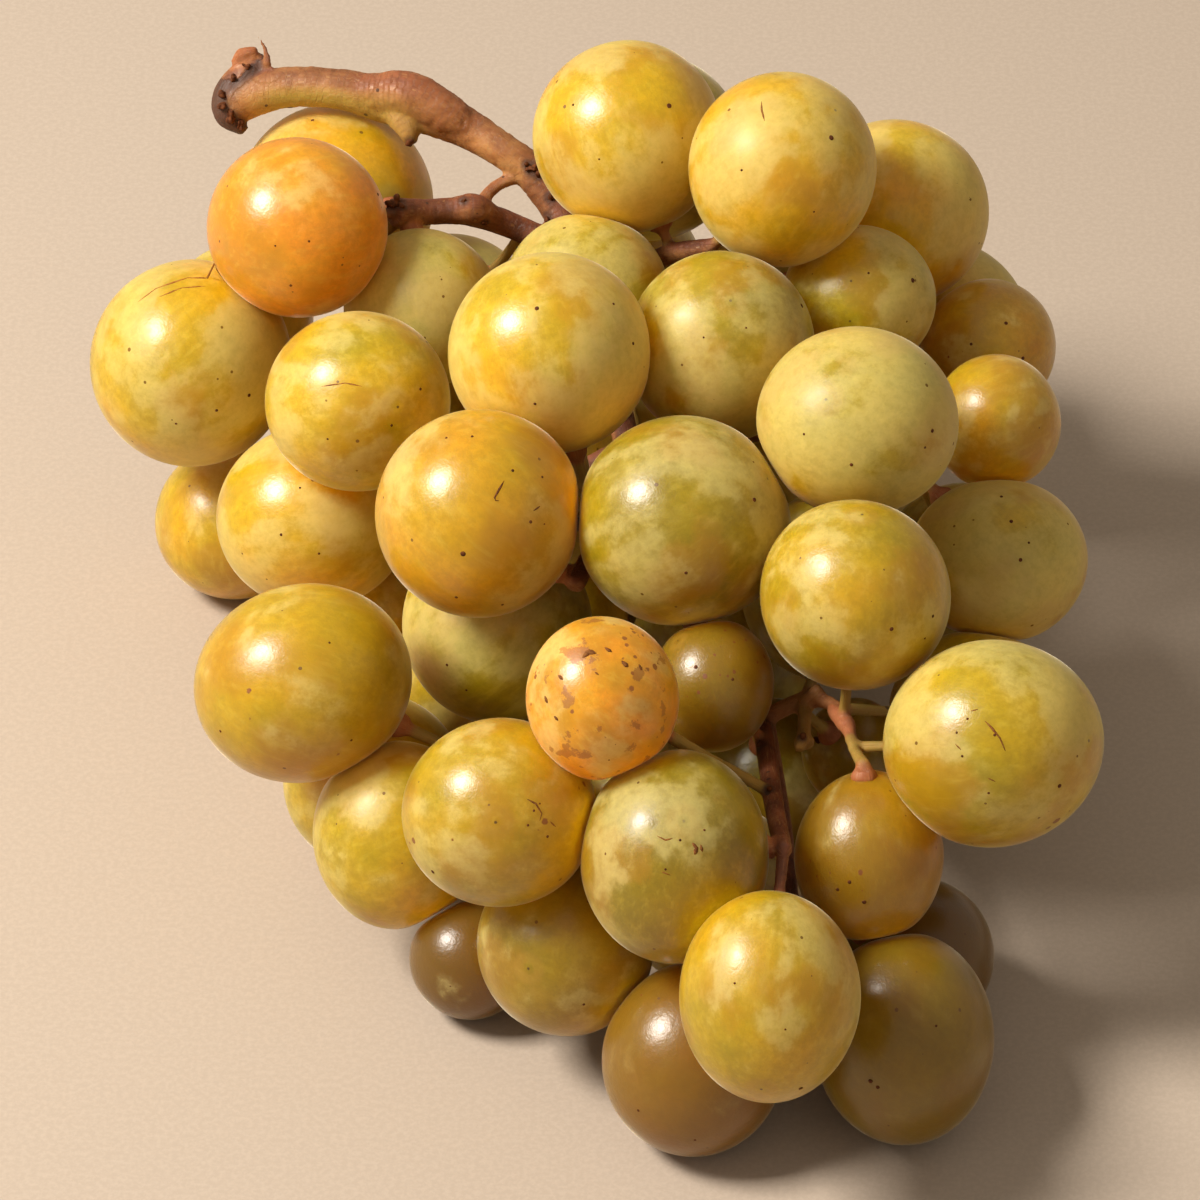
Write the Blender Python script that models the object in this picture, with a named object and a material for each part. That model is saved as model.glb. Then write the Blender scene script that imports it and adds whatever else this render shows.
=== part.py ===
"""Bunch of white table grapes lying on its side, in metres, +Z up.

The peduncle points to the back left and the tip of the bunch to the front (-Y).
Berries on the near side are placed one by one as on the real bunch; those at the
back and underneath are packed in by a seeded rule. All of them are then settled
against each other, against the stem and on the ground plane z = 0.
"""
import math

import bmesh
import bpy
import numpy as np
from mathutils import Matrix, Vector

MM = 0.001

# Near side of the bunch: places are given as seen from above the front, from a point
# SIGHT_DISTANCE away, looking down by SIGHT_TILT at a spot AIM_HEIGHT over the ground.
SIGHT_TILT = math.radians(40.0)
SIGHT_DISTANCE = 750 * MM
AIM_HEIGHT = 35 * MM

# Berries of the near side, in mm: across, up and towards the viewer from the spot aimed
# at, half widths across and up as they look from there, and slant in degrees.
NEAR_BERRIES = [
    (-36.7, 45.4, -24, 11.0, 10.8, 0),
    (-32.2, 48.6, -47, 11.8, 11.8, 0),
    (-49.8, 28.7, -36, 12.0, 12.5, 0),
    (-29.4, 24.4, -8, 11.3, 10.8, 0),
    (-6.1, 30.1, 5, 12.1, 12.2, 0),
    (-15.7, 10.6, 15, 12.4, 12.6, 0),
    (-21.6, 35.7, -36, 9.4, 9.6, 0),
    (-35.0, 10.1, -27, 11.8, 11.0, 0),
    (-44.4, 9.6, -50, 9.6, 9.4, 0),
    (-36.4, -9.6, 13, 13.2, 12.0, 15),
    (-24.4, -28.7, 6, 10.3, 11.3, 0),
    (-27.5, -21.6, -12, 10.8, 10.8, 0),
    (-12.8, -25.6, 31, 11.8, 11.4, 0),
    (0.4, -11.9, 39, 9.3, 9.9, 0),
    (-12.5, -3.1, -5, 11.5, 11.8, 0),
    (10.0, 9.6, 14, 12.9, 12.8, 0),
    (14.8, 31.0, -3, 11.4, 11.4, 0),
    (-1.6, 36.7, -17, 10.1, 9.9, 0),
    (3.5, 56.6, -20, 11.3, 11.6, 0),
    (22.0, 52.5, -5, 11.4, 11.7, 0),
    (36.0, 47.2, -31, 11.2, 11.2, 0),
    (31.5, 36.4, -14, 9.2, 8.9, 0),
    (47.2, 30.8, -26, 8.2, 8.2, 0),
    (32.1, 22.2, 15, 12.1, 11.4, 0),
    (48.2, 21.9, -8, 7.8, 8.2, 0),
    (48.4, 4.5, 0, 10.8, 10.1, 0),
    (31.0, 0.6, 26, 11.5, 11.5, 0),
    (48.0, -17.2, 33, 13.3, 12.5, 0),
    (13.9, -11.0, 18, 7.3, 8.1, 0),
    (32.4, -30.6, 24, 9.0, 10.3, 0),
    (9.5, -31.0, 33, 11.4, 12.9, 0),
    (20.7, -48.4, 48, 10.9, 12.8, 0),
    (12.0, -56.4, 29, 11.0, 11.8, 0),
    (37.2, -53.6, 28, 10.8, 13.0, 0),
    (-4.2, -41.8, 20, 10.7, 11.0, 0),
    (-16.0, -43.7, 8, 7.3, 7.3, 0),
    (38.8, -43.5, 12, 8.9, 9.4, 0),
    (30.8, -18.6, -6, 6.3, 6.6, 0),
    (21.1, -21.8, -8, 9.9, 9.9, 0),
    (-25.9, -1.9, -22, 8.6, 8.6, 0),
    (-21.9, -11.5, -14, 8.2, 8.2, 0),
]

# Stem runs of the near side, in the same frame and mm: across, up, near, half thickness.
SEEN_RUNS = {
    "cane": [
        (-46.1, 58.2, -46, 2.3),
        (-44.2, 62.3, -46, 3.1),
        (-42.6, 66.0, -46, 1.7),
    ],
    "peduncle": [
        (-44.6, 60.6, -46, 2.9),
        (-38.8, 62.3, -45, 2.7),
        (-32.2, 62.2, -44, 2.6),
        (-26.3, 60.9, -44, 3.0),
        (-20.9, 59.5, -43, 3.1),
        (-16.0, 57.3, -43, 2.6),
        (-12.0, 54.8, -42, 2.3),
        (-8.5, 52.4, -42, 2.3),
    ],
    "left": [
        (-2.9, 41.3, -40, 1.7),
        (-9.2, 44.9, -42, 1.7),
        (-16.0, 47.2, -39, 1.8),
        (-21.1, 47.2, -37, 1.7),
        (-25.1, 47.2, -34, 1.9),
    ],
    "loop": [
        (-8.8, 52.0, -42, 1.0),
        (-12.7, 50.3, -41, 0.8),
        (-15.0, 47.5, -39, 1.0),
    ],
    "tip": [
        (19.8, -15.1, 8, 1.3),
        (21.2, -25.1, 25, 1.2),
        (22.3, -30.5, 35, 1.1),
    ],
    "twig": [
        (19.8, -14.5, 8, 1.1),
        (24.9, -12.2, 10, 1.0),
        (28.9, -13.2, 14, 0.8),
        (31.0, -17.9, 20, 0.7),
    ],
    "stub": [
        (25.0, -12.6, 10, 0.9),
        (24.8, -16.5, 13, 0.9),
        (24.9, -17.6, 14, 1.5),
    ],
}

# Stem runs inside the bunch, in mm: x, y, z, half thickness.
INNER_RUNS = {
    "rachis": [
        (-9.0, 67.8, 50.4, 2.4),
        (-5.0, 63.0, 46.0, 2.0),
        (-2.0, 53.0, 42.0, 1.9),
        (1.0, 40.0, 39.0, 1.8),
        (4.0, 25.0, 37.0, 1.7),
        (8.0, 8.0, 34.0, 1.6),
        (14.0, -6.0, 31.0, 1.5),
        (20.0, -16.0, 28.5, 1.4),
    ],
    "crown": [
        (-1.5, 50.0, 41.0, 1.5),
        (4.5, 47.5, 49.0, 1.4),
        (9.0, 43.5, 55.0, 1.3),
        (14.0, 41.0, 58.0, 1.1),
    ],
    "right_back": [
        (-1.5, 51.0, 41.0, 1.6),
        (12.0, 48.0, 42.0, 1.4),
        (25.0, 46.0, 43.0, 1.3),
        (34.0, 44.0, 43.0, 1.1),
    ],
    "right": [
        (4.0, 25.0, 37.0, 1.5),
        (18.0, 24.0, 42.0, 1.4),
        (30.0, 20.0, 45.0, 1.3),
        (38.0, 14.0, 45.0, 1.1),
    ],
    "left_low": [
        (3.5, 27.0, 37.0, 1.5),
        (-8.0, 24.0, 33.0, 1.3),
        (-19.0, 26.0, 30.0, 1.1),
    ],
    "middle": [
        (8.0, 8.0, 34.0, 1.4),
        (0.0, 2.0, 41.0, 1.3),
        (-3.0, -8.0, 44.0, 1.1),
    ],
    "lower": [
        (14.0, -6.0, 31.0, 1.3),
        (2.0, -14.0, 27.0, 1.2),
        (-11.0, -22.0, 23.0, 1.0),
    ],
    "tip_low": [
        (20.0, -16.0, 28.5, 1.2),
        (22.0, -28.0, 22.0, 1.1),
        (23.0, -46.0, 18.0, 1.0),
    ],
    "back_low": [
        (-2.5, 54.0, 41.5, 1.4),
        (0.0, 57.0, 32.0, 1.3),
        (3.0, 56.0, 25.0, 1.1),
    ],
}
BARE_RUNS = ("cane", "peduncle", "loop", "stub")
STEM_STEP = 1.5 * MM

# Far side and underneath: radii of the berries packed there, tried from large to small,
# and how far from the stem a berry's centre may hang.
FAR_RADII = (11.8, 11.2, 10.6, 10.0, 9.4, 8.8, 8.2)
FAR_REACH = 27 * MM
FAR_COUNT = 32
FAR_GRID = 3.4 * MM
FAR_LOW = (-56.0, -62.0, 8.0)
FAR_HIGH = (54.0, 76.0, 66.0)
SEED = 7

# A far berry counts as hidden where a near one lies in front by this part of its radius.
# Its rim may show by RIM_SHOWS, in parts of the near berry's radius, between two near ones.
FRONT_SHARE = 0.3
RIM_SHOWS = 1.25
RIM_POINTS = 16
GROUND_LIKING = 0.15

# Settling: how deep berries press into each other, how deep the pairs that hold a
# cluster together do, the gaps between clusters and to the stem, and the ground flats.
PRESS = 0.4 * MM
HOLD = 1.4 * MM
CLUSTER_GAP = 0.75 * MM
STEM_GAP = 0.7 * MM
GROUND_FLAT = 0.6 * MM
GROUND_REACH = 2.6 * MM
DEEPEST_PRESS = 1.6 * MM
SETTLE_STEPS = 600

# Shares of each overlap that a settling step takes away, and how strongly a near berry
# is drawn back to its place, across its sight line and along it.
BERRY_YIELD = 0.3
LINK_YIELD = 1.6
STEM_YIELD = 1.2
GROUND_YIELD = 0.5
ACROSS_YIELD = 0.25
HOME_ACROSS = 0.12
HOME_ALONG = 0.015

# Clusters, each grown from the berry nearest to a place (x, y, z in mm), and the most
# berries in one.
CLUSTER_SEEDS = {
    "berries_left_shoulder": (-40.0, 40.0, 45.0),
    "berries_crown": (4.0, 50.0, 55.0),
    "berries_right_shoulder": (42.0, 40.0, 45.0),
    "berries_middle": (-8.0, 5.0, 50.0),
    "berries_right_side": (42.0, -8.0, 38.0),
    "berries_lower_left": (-22.0, -24.0, 28.0),
    "berries_tip": (25.0, -50.0, 22.0),
    "berries_back": (-15.0, 58.0, 18.0),
    "berries_underside": (4.0, 12.0, 14.0),
}
CLUSTER_LIMIT = 11
LONGEST_LINK = 3 * MM

# Cost of taking a berry into a cluster, in metres: per gap to it, per distance of the
# cluster's seed, for a full cluster, for a long link, and for a pair that can't be taken.
GAP_COST = 10.0
SPREAD_COST = 0.3
FULL_COST = 1.0
LONG_COST = 2.0
NO_LINK = 9.0

# Pedicels: thickness, the swollen end at the berry, and the room kept round them.
PEDICEL_RADIUS = 0.75 * MM
RECEPTACLE_RADIUS = 1.7 * MM
RECEPTACLE_LENGTH = 1.6 * MM
PEDICEL_CLEARANCE = 0.4 * MM
PEDICEL_REACH = 36 * MM
PEDICEL_BENDS = (4 * MM, 8 * MM, 12 * MM)
PEDICEL_ROOTS = 60
PEDICEL_SIDES = 8
KNEE_PLACE = 0.45
PATH_STEP = 1.2 * MM
RECEPTACLE_PARTING = 0.35 * MM
NECK_SHARE = 0.6

# Meshes: sides of a berry, rings from end to end, how far its corners stand proud, and
# how close two corners of a tube are merged.
BERRY_SIDES = 12
BERRY_RINGS = 7
BERRY_SWELL = 1.012
WELD = 0.01 * MM

SKIN_COLOUR = (0.52, 0.42, 0.09, 1.0)
SKIN_ROUGHNESS = 0.35
WOOD_COLOUR = (0.30, 0.13, 0.05, 1.0)
WOOD_ROUGHNESS = 0.75


def sight_axes():
    """Across, up and forward directions of the near side's frame."""
    across = np.array([1.0, 0.0, 0.0])
    up = np.array([0.0, math.sin(SIGHT_TILT), math.cos(SIGHT_TILT)])
    forward = np.array([0.0, math.cos(SIGHT_TILT), -math.sin(SIGHT_TILT)])
    return across, up, forward


class Berries:
    """Centres, shape matrices and sight lines of the berries, in metres."""

    def __init__(self):
        across, up, forward = sight_axes()
        self.eye = np.array([0.0, 0.0, AIM_HEIGHT]) - SIGHT_DISTANCE * forward
        centres, shapes, lines = [], [], []
        for a, u, near, half_a, half_u, slant in NEAR_BERRIES:
            line = forward + (a * across + u * up) * MM / SIGHT_DISTANCE
            depth = SIGHT_DISTANCE - near * MM
            scale = MM * depth / SIGHT_DISTANCE
            turn = math.radians(slant)
            first = math.cos(turn) * across + math.sin(turn) * up
            second = -math.sin(turn) * across + math.cos(turn) * up
            third = min(half_a, half_u)
            shape = half_a**2 * np.outer(first, first)
            shape += half_u**2 * np.outer(second, second)
            shape += third**2 * np.outer(forward, forward)
            centres.append(self.eye + depth * line)
            shapes.append(shape * scale**2)
            lines.append(line / np.linalg.norm(line))
        self.centre = np.array(centres)
        self.shape = np.array(shapes)
        self.line = np.array(lines)
        self.home = self.centre.copy()
        self.near_count = len(NEAR_BERRIES)


def half_width(shape, direction):
    """Half width of a berry, or of each of several, along a unit direction."""
    return np.sqrt(np.einsum("...i,...ij,...j->...", direction, shape, direction))


def pair_gaps(centre, shape):
    """Gaps between all pairs of berries and the unit directions between them."""
    offset = centre[None] - centre[:, None]
    distance = np.linalg.norm(offset, axis=2) + np.eye(len(centre))
    direction = offset / distance[..., None]
    gap = distance - half_width(shape[:, None], direction)
    gap -= half_width(shape[None], direction)
    np.fill_diagonal(gap, 1.0)
    return gap, direction


def stem_runs():
    """Every stem run by name: rows of x, y, z and half thickness, in metres."""
    across, up, forward = sight_axes()
    eye = np.array([0.0, 0.0, AIM_HEIGHT]) - SIGHT_DISTANCE * forward
    runs = {}
    for name, rows in SEEN_RUNS.items():
        points = []
        for a, u, near, half in rows:
            depth = SIGHT_DISTANCE - near * MM
            line = forward + (a * across + u * up) * MM / SIGHT_DISTANCE
            points.append((*(eye + depth * line), half * MM))
        runs[name] = np.array(points)
    for name, rows in INNER_RUNS.items():
        runs[name] = np.array(rows) * MM
    return runs


def stem_samples(runs):
    """Points along every stem run, closely spaced, with the half thickness there."""
    rows = []
    for run in runs.values():
        for start, end in zip(run, run[1:]):
            count = max(2, math.ceil(np.linalg.norm((end - start)[:3]) / STEM_STEP))
            for step in range(count + 1):
                rows.append(start + (end - start) * step / count)
    return np.array(rows)


def settle(berries, samples, links=(), cluster=None):
    """Moves the berries until they no longer cross each other, the stem or the ground.

    A berry of the near side stays on its sight line. Pairs in links are drawn together
    and berries of different clusters are kept apart.
    """
    near = berries.near_count
    target = np.full((len(berries.centre), len(berries.centre)), -PRESS)
    if cluster is not None:
        target[cluster[:, None] != cluster[None]] = CLUSTER_GAP
    for _ in range(SETTLE_STEPS):
        centre = berries.centre
        gap, direction = pair_gaps(centre, berries.shape)
        shove = np.where(gap < target, target - gap, 0.0)
        if cluster is not None:
            same = cluster[:, None] == cluster[None]
            shove[same] = np.where(gap < -DEEPEST_PRESS, -DEEPEST_PRESS - gap, 0.0)[same]
        for one, other in links:
            pull = -LINK_YIELD * (gap[one, other] + HOLD)
            shove[one, other] += pull
            shove[other, one] += pull
        push = -BERRY_YIELD * (shove[..., None] * direction).sum(axis=1)

        away = centre[:, None] - samples[None, :, :3]
        distance = np.linalg.norm(away, axis=2)
        away /= distance[..., None]
        room = distance - half_width(berries.shape[:, None], away) - samples[None, :, 3]
        tight = np.argmin(room, axis=1)
        rows = np.arange(len(centre))
        short = np.maximum(STEM_GAP - room[rows, tight], 0.0)
        push += STEM_YIELD * short[:, None] * away[rows, tight]

        low = centre[:, 2] - np.sqrt(berries.shape[:, 2, 2])
        sink = GROUND_YIELD * (low + GROUND_FLAT)
        push[:, 2] -= np.where(low < GROUND_REACH, sink, 0.0)

        line = berries.line[:near]
        along = (push[:near] * line).sum(axis=1)[:, None] * line
        drift = centre[:near] - berries.home
        drift_along = (drift * line).sum(axis=1)[:, None] * line
        push[:near] = along + ACROSS_YIELD * (push[:near] - along)
        push[:near] -= HOME_ACROSS * (drift - drift_along) + HOME_ALONG * drift_along
        berries.centre = centre + push


def plane_places(berries, centre):
    """Places on the plane through the spot aimed at, and depths, as seen."""
    across, up, forward = sight_axes()
    ray = centre - berries.eye
    depth = ray @ forward
    places = np.stack([ray @ across, ray @ up], axis=-1)
    return places * (SIGHT_DISTANCE / depth)[..., None], depth


def pack_far_side(berries, samples):
    """Adds berries behind and under the near ones, each where it nests closest."""
    rng = np.random.default_rng(SEED)
    near_place, near_depth = plane_places(berries, berries.centre)
    near_radius = np.cbrt(np.sqrt(np.linalg.det(berries.shape)))
    near_seen = near_radius * SIGHT_DISTANCE / near_depth
    steps = [
        np.arange(low * MM, high * MM, FAR_GRID) for low, high in zip(FAR_LOW, FAR_HIGH)]
    grid = np.stack(np.meshgrid(*steps, indexing="ij"), axis=-1).reshape(-1, 3)
    grid += rng.uniform(-0.5, 0.5, grid.shape) * FAR_GRID
    circle = np.linspace(0, 2 * math.pi, RIM_POINTS, endpoint=False)
    circle = np.stack([np.cos(circle), np.sin(circle)], axis=1)
    added = 0
    for radius in FAR_RADII:
        radius = radius * MM
        spots = grid.copy()
        spots[:, 2] = np.maximum(spots[:, 2], radius - GROUND_FLAT)
        distance = np.linalg.norm(spots[:, None] - samples[None, :, :3], axis=2)
        room = (distance - samples[None, :, 3]).min(axis=1)
        spots = spots[(room > radius + STEM_GAP) & (room < FAR_REACH)]
        place, depth = plane_places(berries, spots)
        seen = radius * SIGHT_DISTANCE / depth
        rim = place[:, None] + seen[:, None, None] * circle
        reach = np.linalg.norm(rim[:, :, None] - near_place, axis=3) / near_seen
        in_front = near_depth < depth[:, None, None] - FRONT_SHARE * radius
        hidden = ((reach < 1.0) & in_front).any(axis=2)
        hidden |= ((reach < RIM_SHOWS) & in_front).sum(axis=2) > 1
        spots = spots[hidden.all(axis=1)]
        while added < FAR_COUNT and len(spots):
            offset = spots[:, None] - berries.centre[None]
            distance = np.linalg.norm(offset, axis=2)
            gap = distance - radius
            gap -= half_width(berries.shape[None], offset / (distance[..., None] + 1e-9))
            free = gap.min(axis=1) > -PRESS
            spots, gap = spots[free], gap[free]
            if not len(spots):
                break
            ground = spots[:, 2:3] - radius
            nearest = np.sort(np.concatenate([gap, ground], axis=1), axis=1)[:, :3]
            height = np.abs(ground[:, 0])
            chosen = np.argmin(nearest.sum(axis=1) + GROUND_LIKING * height)
            berries.centre = np.vstack([berries.centre, spots[chosen]])
            shape = np.eye(3)[None] * radius**2
            berries.shape = np.concatenate([berries.shape, shape])
            added += 1


def grow_clusters(berries):
    """Shares the berries out to clusters by their contacts and nearness to the seeds."""
    gap, _ = pair_gaps(berries.centre, berries.shape)
    places = np.array(list(CLUSTER_SEEDS.values())) * MM
    spread = np.linalg.norm(berries.centre[None] - places[:, None], axis=2)
    cluster = np.full(len(berries.centre), -1)
    cluster[np.argmin(spread, axis=1)] = np.arange(len(places))
    links = []
    while (cluster < 0).any():
        size = np.bincount(cluster[cluster >= 0], minlength=len(places))
        cost = GAP_COST * np.maximum(gap, 0.0) + SPREAD_COST * spread[cluster]
        cost += np.where(size[cluster] < CLUSTER_LIMIT, 0.0, FULL_COST)[:, None]
        cost += np.where(gap > LONGEST_LINK, LONG_COST, 0.0)
        cost[cluster < 0] = NO_LINK
        cost[:, cluster >= 0] = NO_LINK
        one, other = np.unravel_index(np.argmin(cost), cost.shape)
        cluster[other] = cluster[one]
        links.append((one, other))
    return cluster, links


def path_is_clear(points, berries, own):
    """True where a pedicel along the points passes every berry but its own."""
    others = np.arange(len(berries.centre)) != own
    centre, shape = berries.centre[others], berries.shape[others]
    for start, end in zip(points, points[1:]):
        count = max(2, math.ceil(np.linalg.norm(end - start) / PATH_STEP))
        steps = start + (end - start) * np.linspace(0, 1, count)[:, None]
        away = steps[:, None] - centre[None]
        distance = np.linalg.norm(away, axis=2)
        room = distance - half_width(shape[None], away / distance[..., None])
        if room.min() < PEDICEL_RADIUS + PEDICEL_CLEARANCE:
            return False
    return True


def find_pedicel(berries, own, samples):
    """Points from the stem to the berry's surface: straight if clear, or bent once."""
    centre = berries.centre[own]
    offset = samples[:, :3] - centre
    distance = np.linalg.norm(offset, axis=1)
    order = np.argsort(distance)
    order = order[distance[order] < PEDICEL_REACH][:PEDICEL_ROOTS:2]
    for bend in (0.0, *PEDICEL_BENDS):
        for index in order:
            root = samples[index, :3]
            along = offset[index] / distance[index]
            side = np.cross(along, (0.0, 0.0, 1.0))
            side /= np.linalg.norm(side)
            rise = np.cross(side, along)
            own_reach = half_width(berries.shape[own], along)
            middle = centre + along * (KNEE_PLACE * distance[index] + own_reach / 2)
            for turn in range(1 if bend == 0.0 else PEDICEL_SIDES):
                angle = 2 * math.pi * turn / PEDICEL_SIDES
                knee = middle + bend * (math.cos(angle) * side + math.sin(angle) * rise)
                out = knee - centre
                out /= np.linalg.norm(out)
                surface = centre + out * half_width(berries.shape[own], out)
                points = [root, knee, surface]
                if np.linalg.norm(knee - centre) < np.linalg.norm(surface - centre) + MM:
                    points = [root, surface]
                if path_is_clear(points, berries, own):
                    return points
    return None


def lay_out():
    """Berries, their clusters, the stem runs and the pedicels, centred over the origin."""
    runs = stem_runs()
    samples = stem_samples(runs)
    berries = Berries()
    settle(berries, samples)
    pack_far_side(berries, samples)
    settle(berries, samples)
    cluster, links = grow_clusters(berries)
    settle(berries, samples, links, cluster)
    fruiting = {name: run for name, run in runs.items() if name not in BARE_RUNS}
    roots = stem_samples(fruiting)
    pedicels = [find_pedicel(berries, own, roots) for own in range(len(berries.centre))]

    reach = np.sqrt(np.einsum("nii->ni", berries.shape))
    low = np.minimum((berries.centre - reach).min(axis=0), samples[:, :3].min(axis=0))
    high = np.maximum((berries.centre + reach).max(axis=0), samples[:, :3].max(axis=0))
    shift = np.array([*(-(low + high) / 2)[:2], 0.0])
    berries.centre = berries.centre + shift
    for run in runs.values():
        run[:, :3] += shift
    pedicels = [None if path is None else np.array(path) + shift for path in pedicels]
    return berries, cluster, runs, pedicels


def clear_scene():
    """Removes everything that the scene starts with."""
    for thing in list(bpy.data.objects):
        bpy.data.objects.remove(thing, do_unlink=True)


def make_material(name, colour, roughness):
    """A plain surface of one colour."""
    material = bpy.data.materials.new(name)
    material.use_nodes = True
    shader = material.node_tree.nodes["Principled BSDF"]
    shader.inputs["Base Color"].default_value = colour
    shader.inputs["Roughness"].default_value = roughness
    shader.inputs["Metallic"].default_value = 0.0
    material.diffuse_color = colour
    return material


def make_collection(name):
    """A collection linked to the scene."""
    collection = bpy.data.collections.new(name)
    bpy.context.scene.collection.children.link(collection)
    return collection


def berry_object(berries, own, pedicel, collection):
    """One berry: a stretched sphere with its pole at the pedicel."""
    values, vectors = np.linalg.eigh(berries.shape[own])
    stretch = vectors @ np.diag(np.sqrt(values)) @ vectors.T * BERRY_SWELL
    pole = Vector((0.0, 0.0, 1.0))
    if pedicel is not None:
        pole = Vector(pedicel[-2] - berries.centre[own])
    turn = pole.to_track_quat("Z", "Y").to_matrix().to_4x4()
    place = Matrix.Translation(Vector(berries.centre[own]))
    mesh = bpy.data.meshes.new(f"berry_{own:02d}")
    cage = bmesh.new()
    bmesh.ops.create_uvsphere(
        cage, u_segments=BERRY_SIDES, v_segments=BERRY_RINGS, radius=1.0)
    cage.transform(place @ Matrix(stretch.tolist()).to_4x4() @ turn)
    cage.to_mesh(mesh)
    cage.free()
    berry = bpy.data.objects.new(mesh.name, mesh)
    collection.objects.link(berry)
    return berry


def tube_object(name, points, radii, resolution, collection):
    """A round tube along the points, as a closed mesh."""
    curve = bpy.data.curves.new(name, "CURVE")
    curve.dimensions = "3D"
    curve.bevel_depth = 1.0
    curve.bevel_resolution = resolution
    curve.use_fill_caps = True
    spline = curve.splines.new("POLY")
    spline.points.add(len(points) - 1)
    for spline_point, point, radius in zip(spline.points, points, radii):
        spline_point.co = (*point, 1.0)
        spline_point.radius = radius
    guide = bpy.data.objects.new(f"{name}_guide", curve)
    collection.objects.link(guide)
    bpy.context.view_layer.update()
    depsgraph = bpy.context.evaluated_depsgraph_get()
    mesh = bpy.data.meshes.new_from_object(guide.evaluated_get(depsgraph))
    cage = bmesh.new()
    cage.from_mesh(mesh)
    bmesh.ops.remove_doubles(cage, verts=cage.verts, dist=WELD)
    bmesh.ops.recalc_face_normals(cage, faces=cage.faces)
    cage.to_mesh(mesh)
    cage.free()
    tube = bpy.data.objects.new(name, mesh)
    tube.matrix_world = guide.matrix_world
    collection.objects.link(tube)
    bpy.data.objects.remove(guide, do_unlink=True)
    return tube


def join(name, first, others, material, collection):
    """Fuses the first object with a collection of others into one node."""
    union = first.modifiers.new("union", "BOOLEAN")
    union.operation = "UNION"
    union.operand_type = "COLLECTION"
    union.solver = "EXACT"
    union.collection = others
    bpy.context.view_layer.update()
    depsgraph = bpy.context.evaluated_depsgraph_get()
    mesh = bpy.data.meshes.new_from_object(first.evaluated_get(depsgraph))
    for thing in list(others.objects):
        bpy.data.objects.remove(thing, do_unlink=True)
    bpy.data.objects.remove(first, do_unlink=True)
    mesh.materials.clear()
    mesh.materials.append(material)
    node = bpy.data.objects.new(name, mesh)
    collection.objects.link(node)
    return node


def trim_to_ground(node):
    """Cuts the node flat where it would reach below the ground plane."""
    cage = bmesh.new()
    cage.from_mesh(node.data)
    everything = [*cage.verts, *cage.edges, *cage.faces]
    cut = bmesh.ops.bisect_plane(
        cage, geom=everything, plane_co=(0.0, 0.0, 0.0), plane_no=(0.0, 0.0, -1.0),
        clear_outer=True)
    rims = [item for item in cut["geom_cut"] if isinstance(item, bmesh.types.BMEdge)]
    bmesh.ops.edgeloop_fill(cage, edges=rims)
    bmesh.ops.recalc_face_normals(cage, faces=cage.faces)
    cage.to_mesh(node.data)
    cage.free()


def shade_smooth(node):
    """Smooth shading on round surfaces."""
    for face in node.data.polygons:
        face.use_smooth = True


def build_berries(berries, cluster, pedicels, material, bunch, tools):
    """One node for each cluster of berries."""
    for number, name in enumerate(CLUSTER_SEEDS):
        members = np.flatnonzero(cluster == number)
        first, *rest = [
            berry_object(berries, own, pedicels[own], tools) for own in members]
        tools.objects.unlink(first)
        bunch.objects.link(first)
        node = join(name, first, tools, material, bunch)
        trim_to_ground(node)
        shade_smooth(node)


def build_stem(berries, runs, pedicels, material, bunch, tools):
    """The peduncle, rachis, side branches and pedicels, grown as one."""
    tubes = []
    for name, run in runs.items():
        resolution = 2 if name in ("peduncle", "cane", "rachis") else 1
        tubes.append(tube_object(name, run[:, :3], run[:, 3], resolution, tools))
    for own, path in enumerate(pedicels):
        if path is None:
            continue
        out = path[-2] - path[-1]
        length = np.linalg.norm(out)
        tip = path[-1] + out / length * RECEPTACLE_PARTING
        neck = tip + out / length * min(RECEPTACLE_LENGTH, NECK_SHARE * length)
        points = [*path[:-1], neck, tip]
        radii = [PEDICEL_RADIUS] * (len(points) - 1) + [RECEPTACLE_RADIUS]
        tubes.append(tube_object(f"pedicel_{own:02d}", points, radii, 0, tools))
    first = tubes[0]
    tools.objects.unlink(first)
    bunch.objects.link(first)
    node = join("stem", first, tools, material, bunch)
    shade_smooth(node)


def main():
    clear_scene()
    berries, cluster, runs, pedicels = lay_out()
    bunch = make_collection("grape_bunch")
    tools = make_collection("pieces_to_join")
    skin = make_material("grape_skin", SKIN_COLOUR, SKIN_ROUGHNESS)
    wood = make_material("stem_wood", WOOD_COLOUR, WOOD_ROUGHNESS)
    build_berries(berries, cluster, pedicels, skin, bunch, tools)
    build_stem(berries, runs, pedicels, wood, bunch, tools)
    bpy.data.collections.remove(tools)


main()
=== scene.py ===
"""Looks of the bunch of white table grapes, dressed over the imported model.

The berries are placed by the same lists and rules as in the part's source, then made
as fine, slightly uneven ellipsoids that are pressed flat where they touch. The stem is
a fine mesh of the same runs. Skin and wood are procedural.
"""

import math

import bmesh
import bpy
import numpy as np
from mathutils import Euler, Matrix, Vector, noise
from mathutils.bvhtree import BVHTree
from mathutils.kdtree import KDTree


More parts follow.
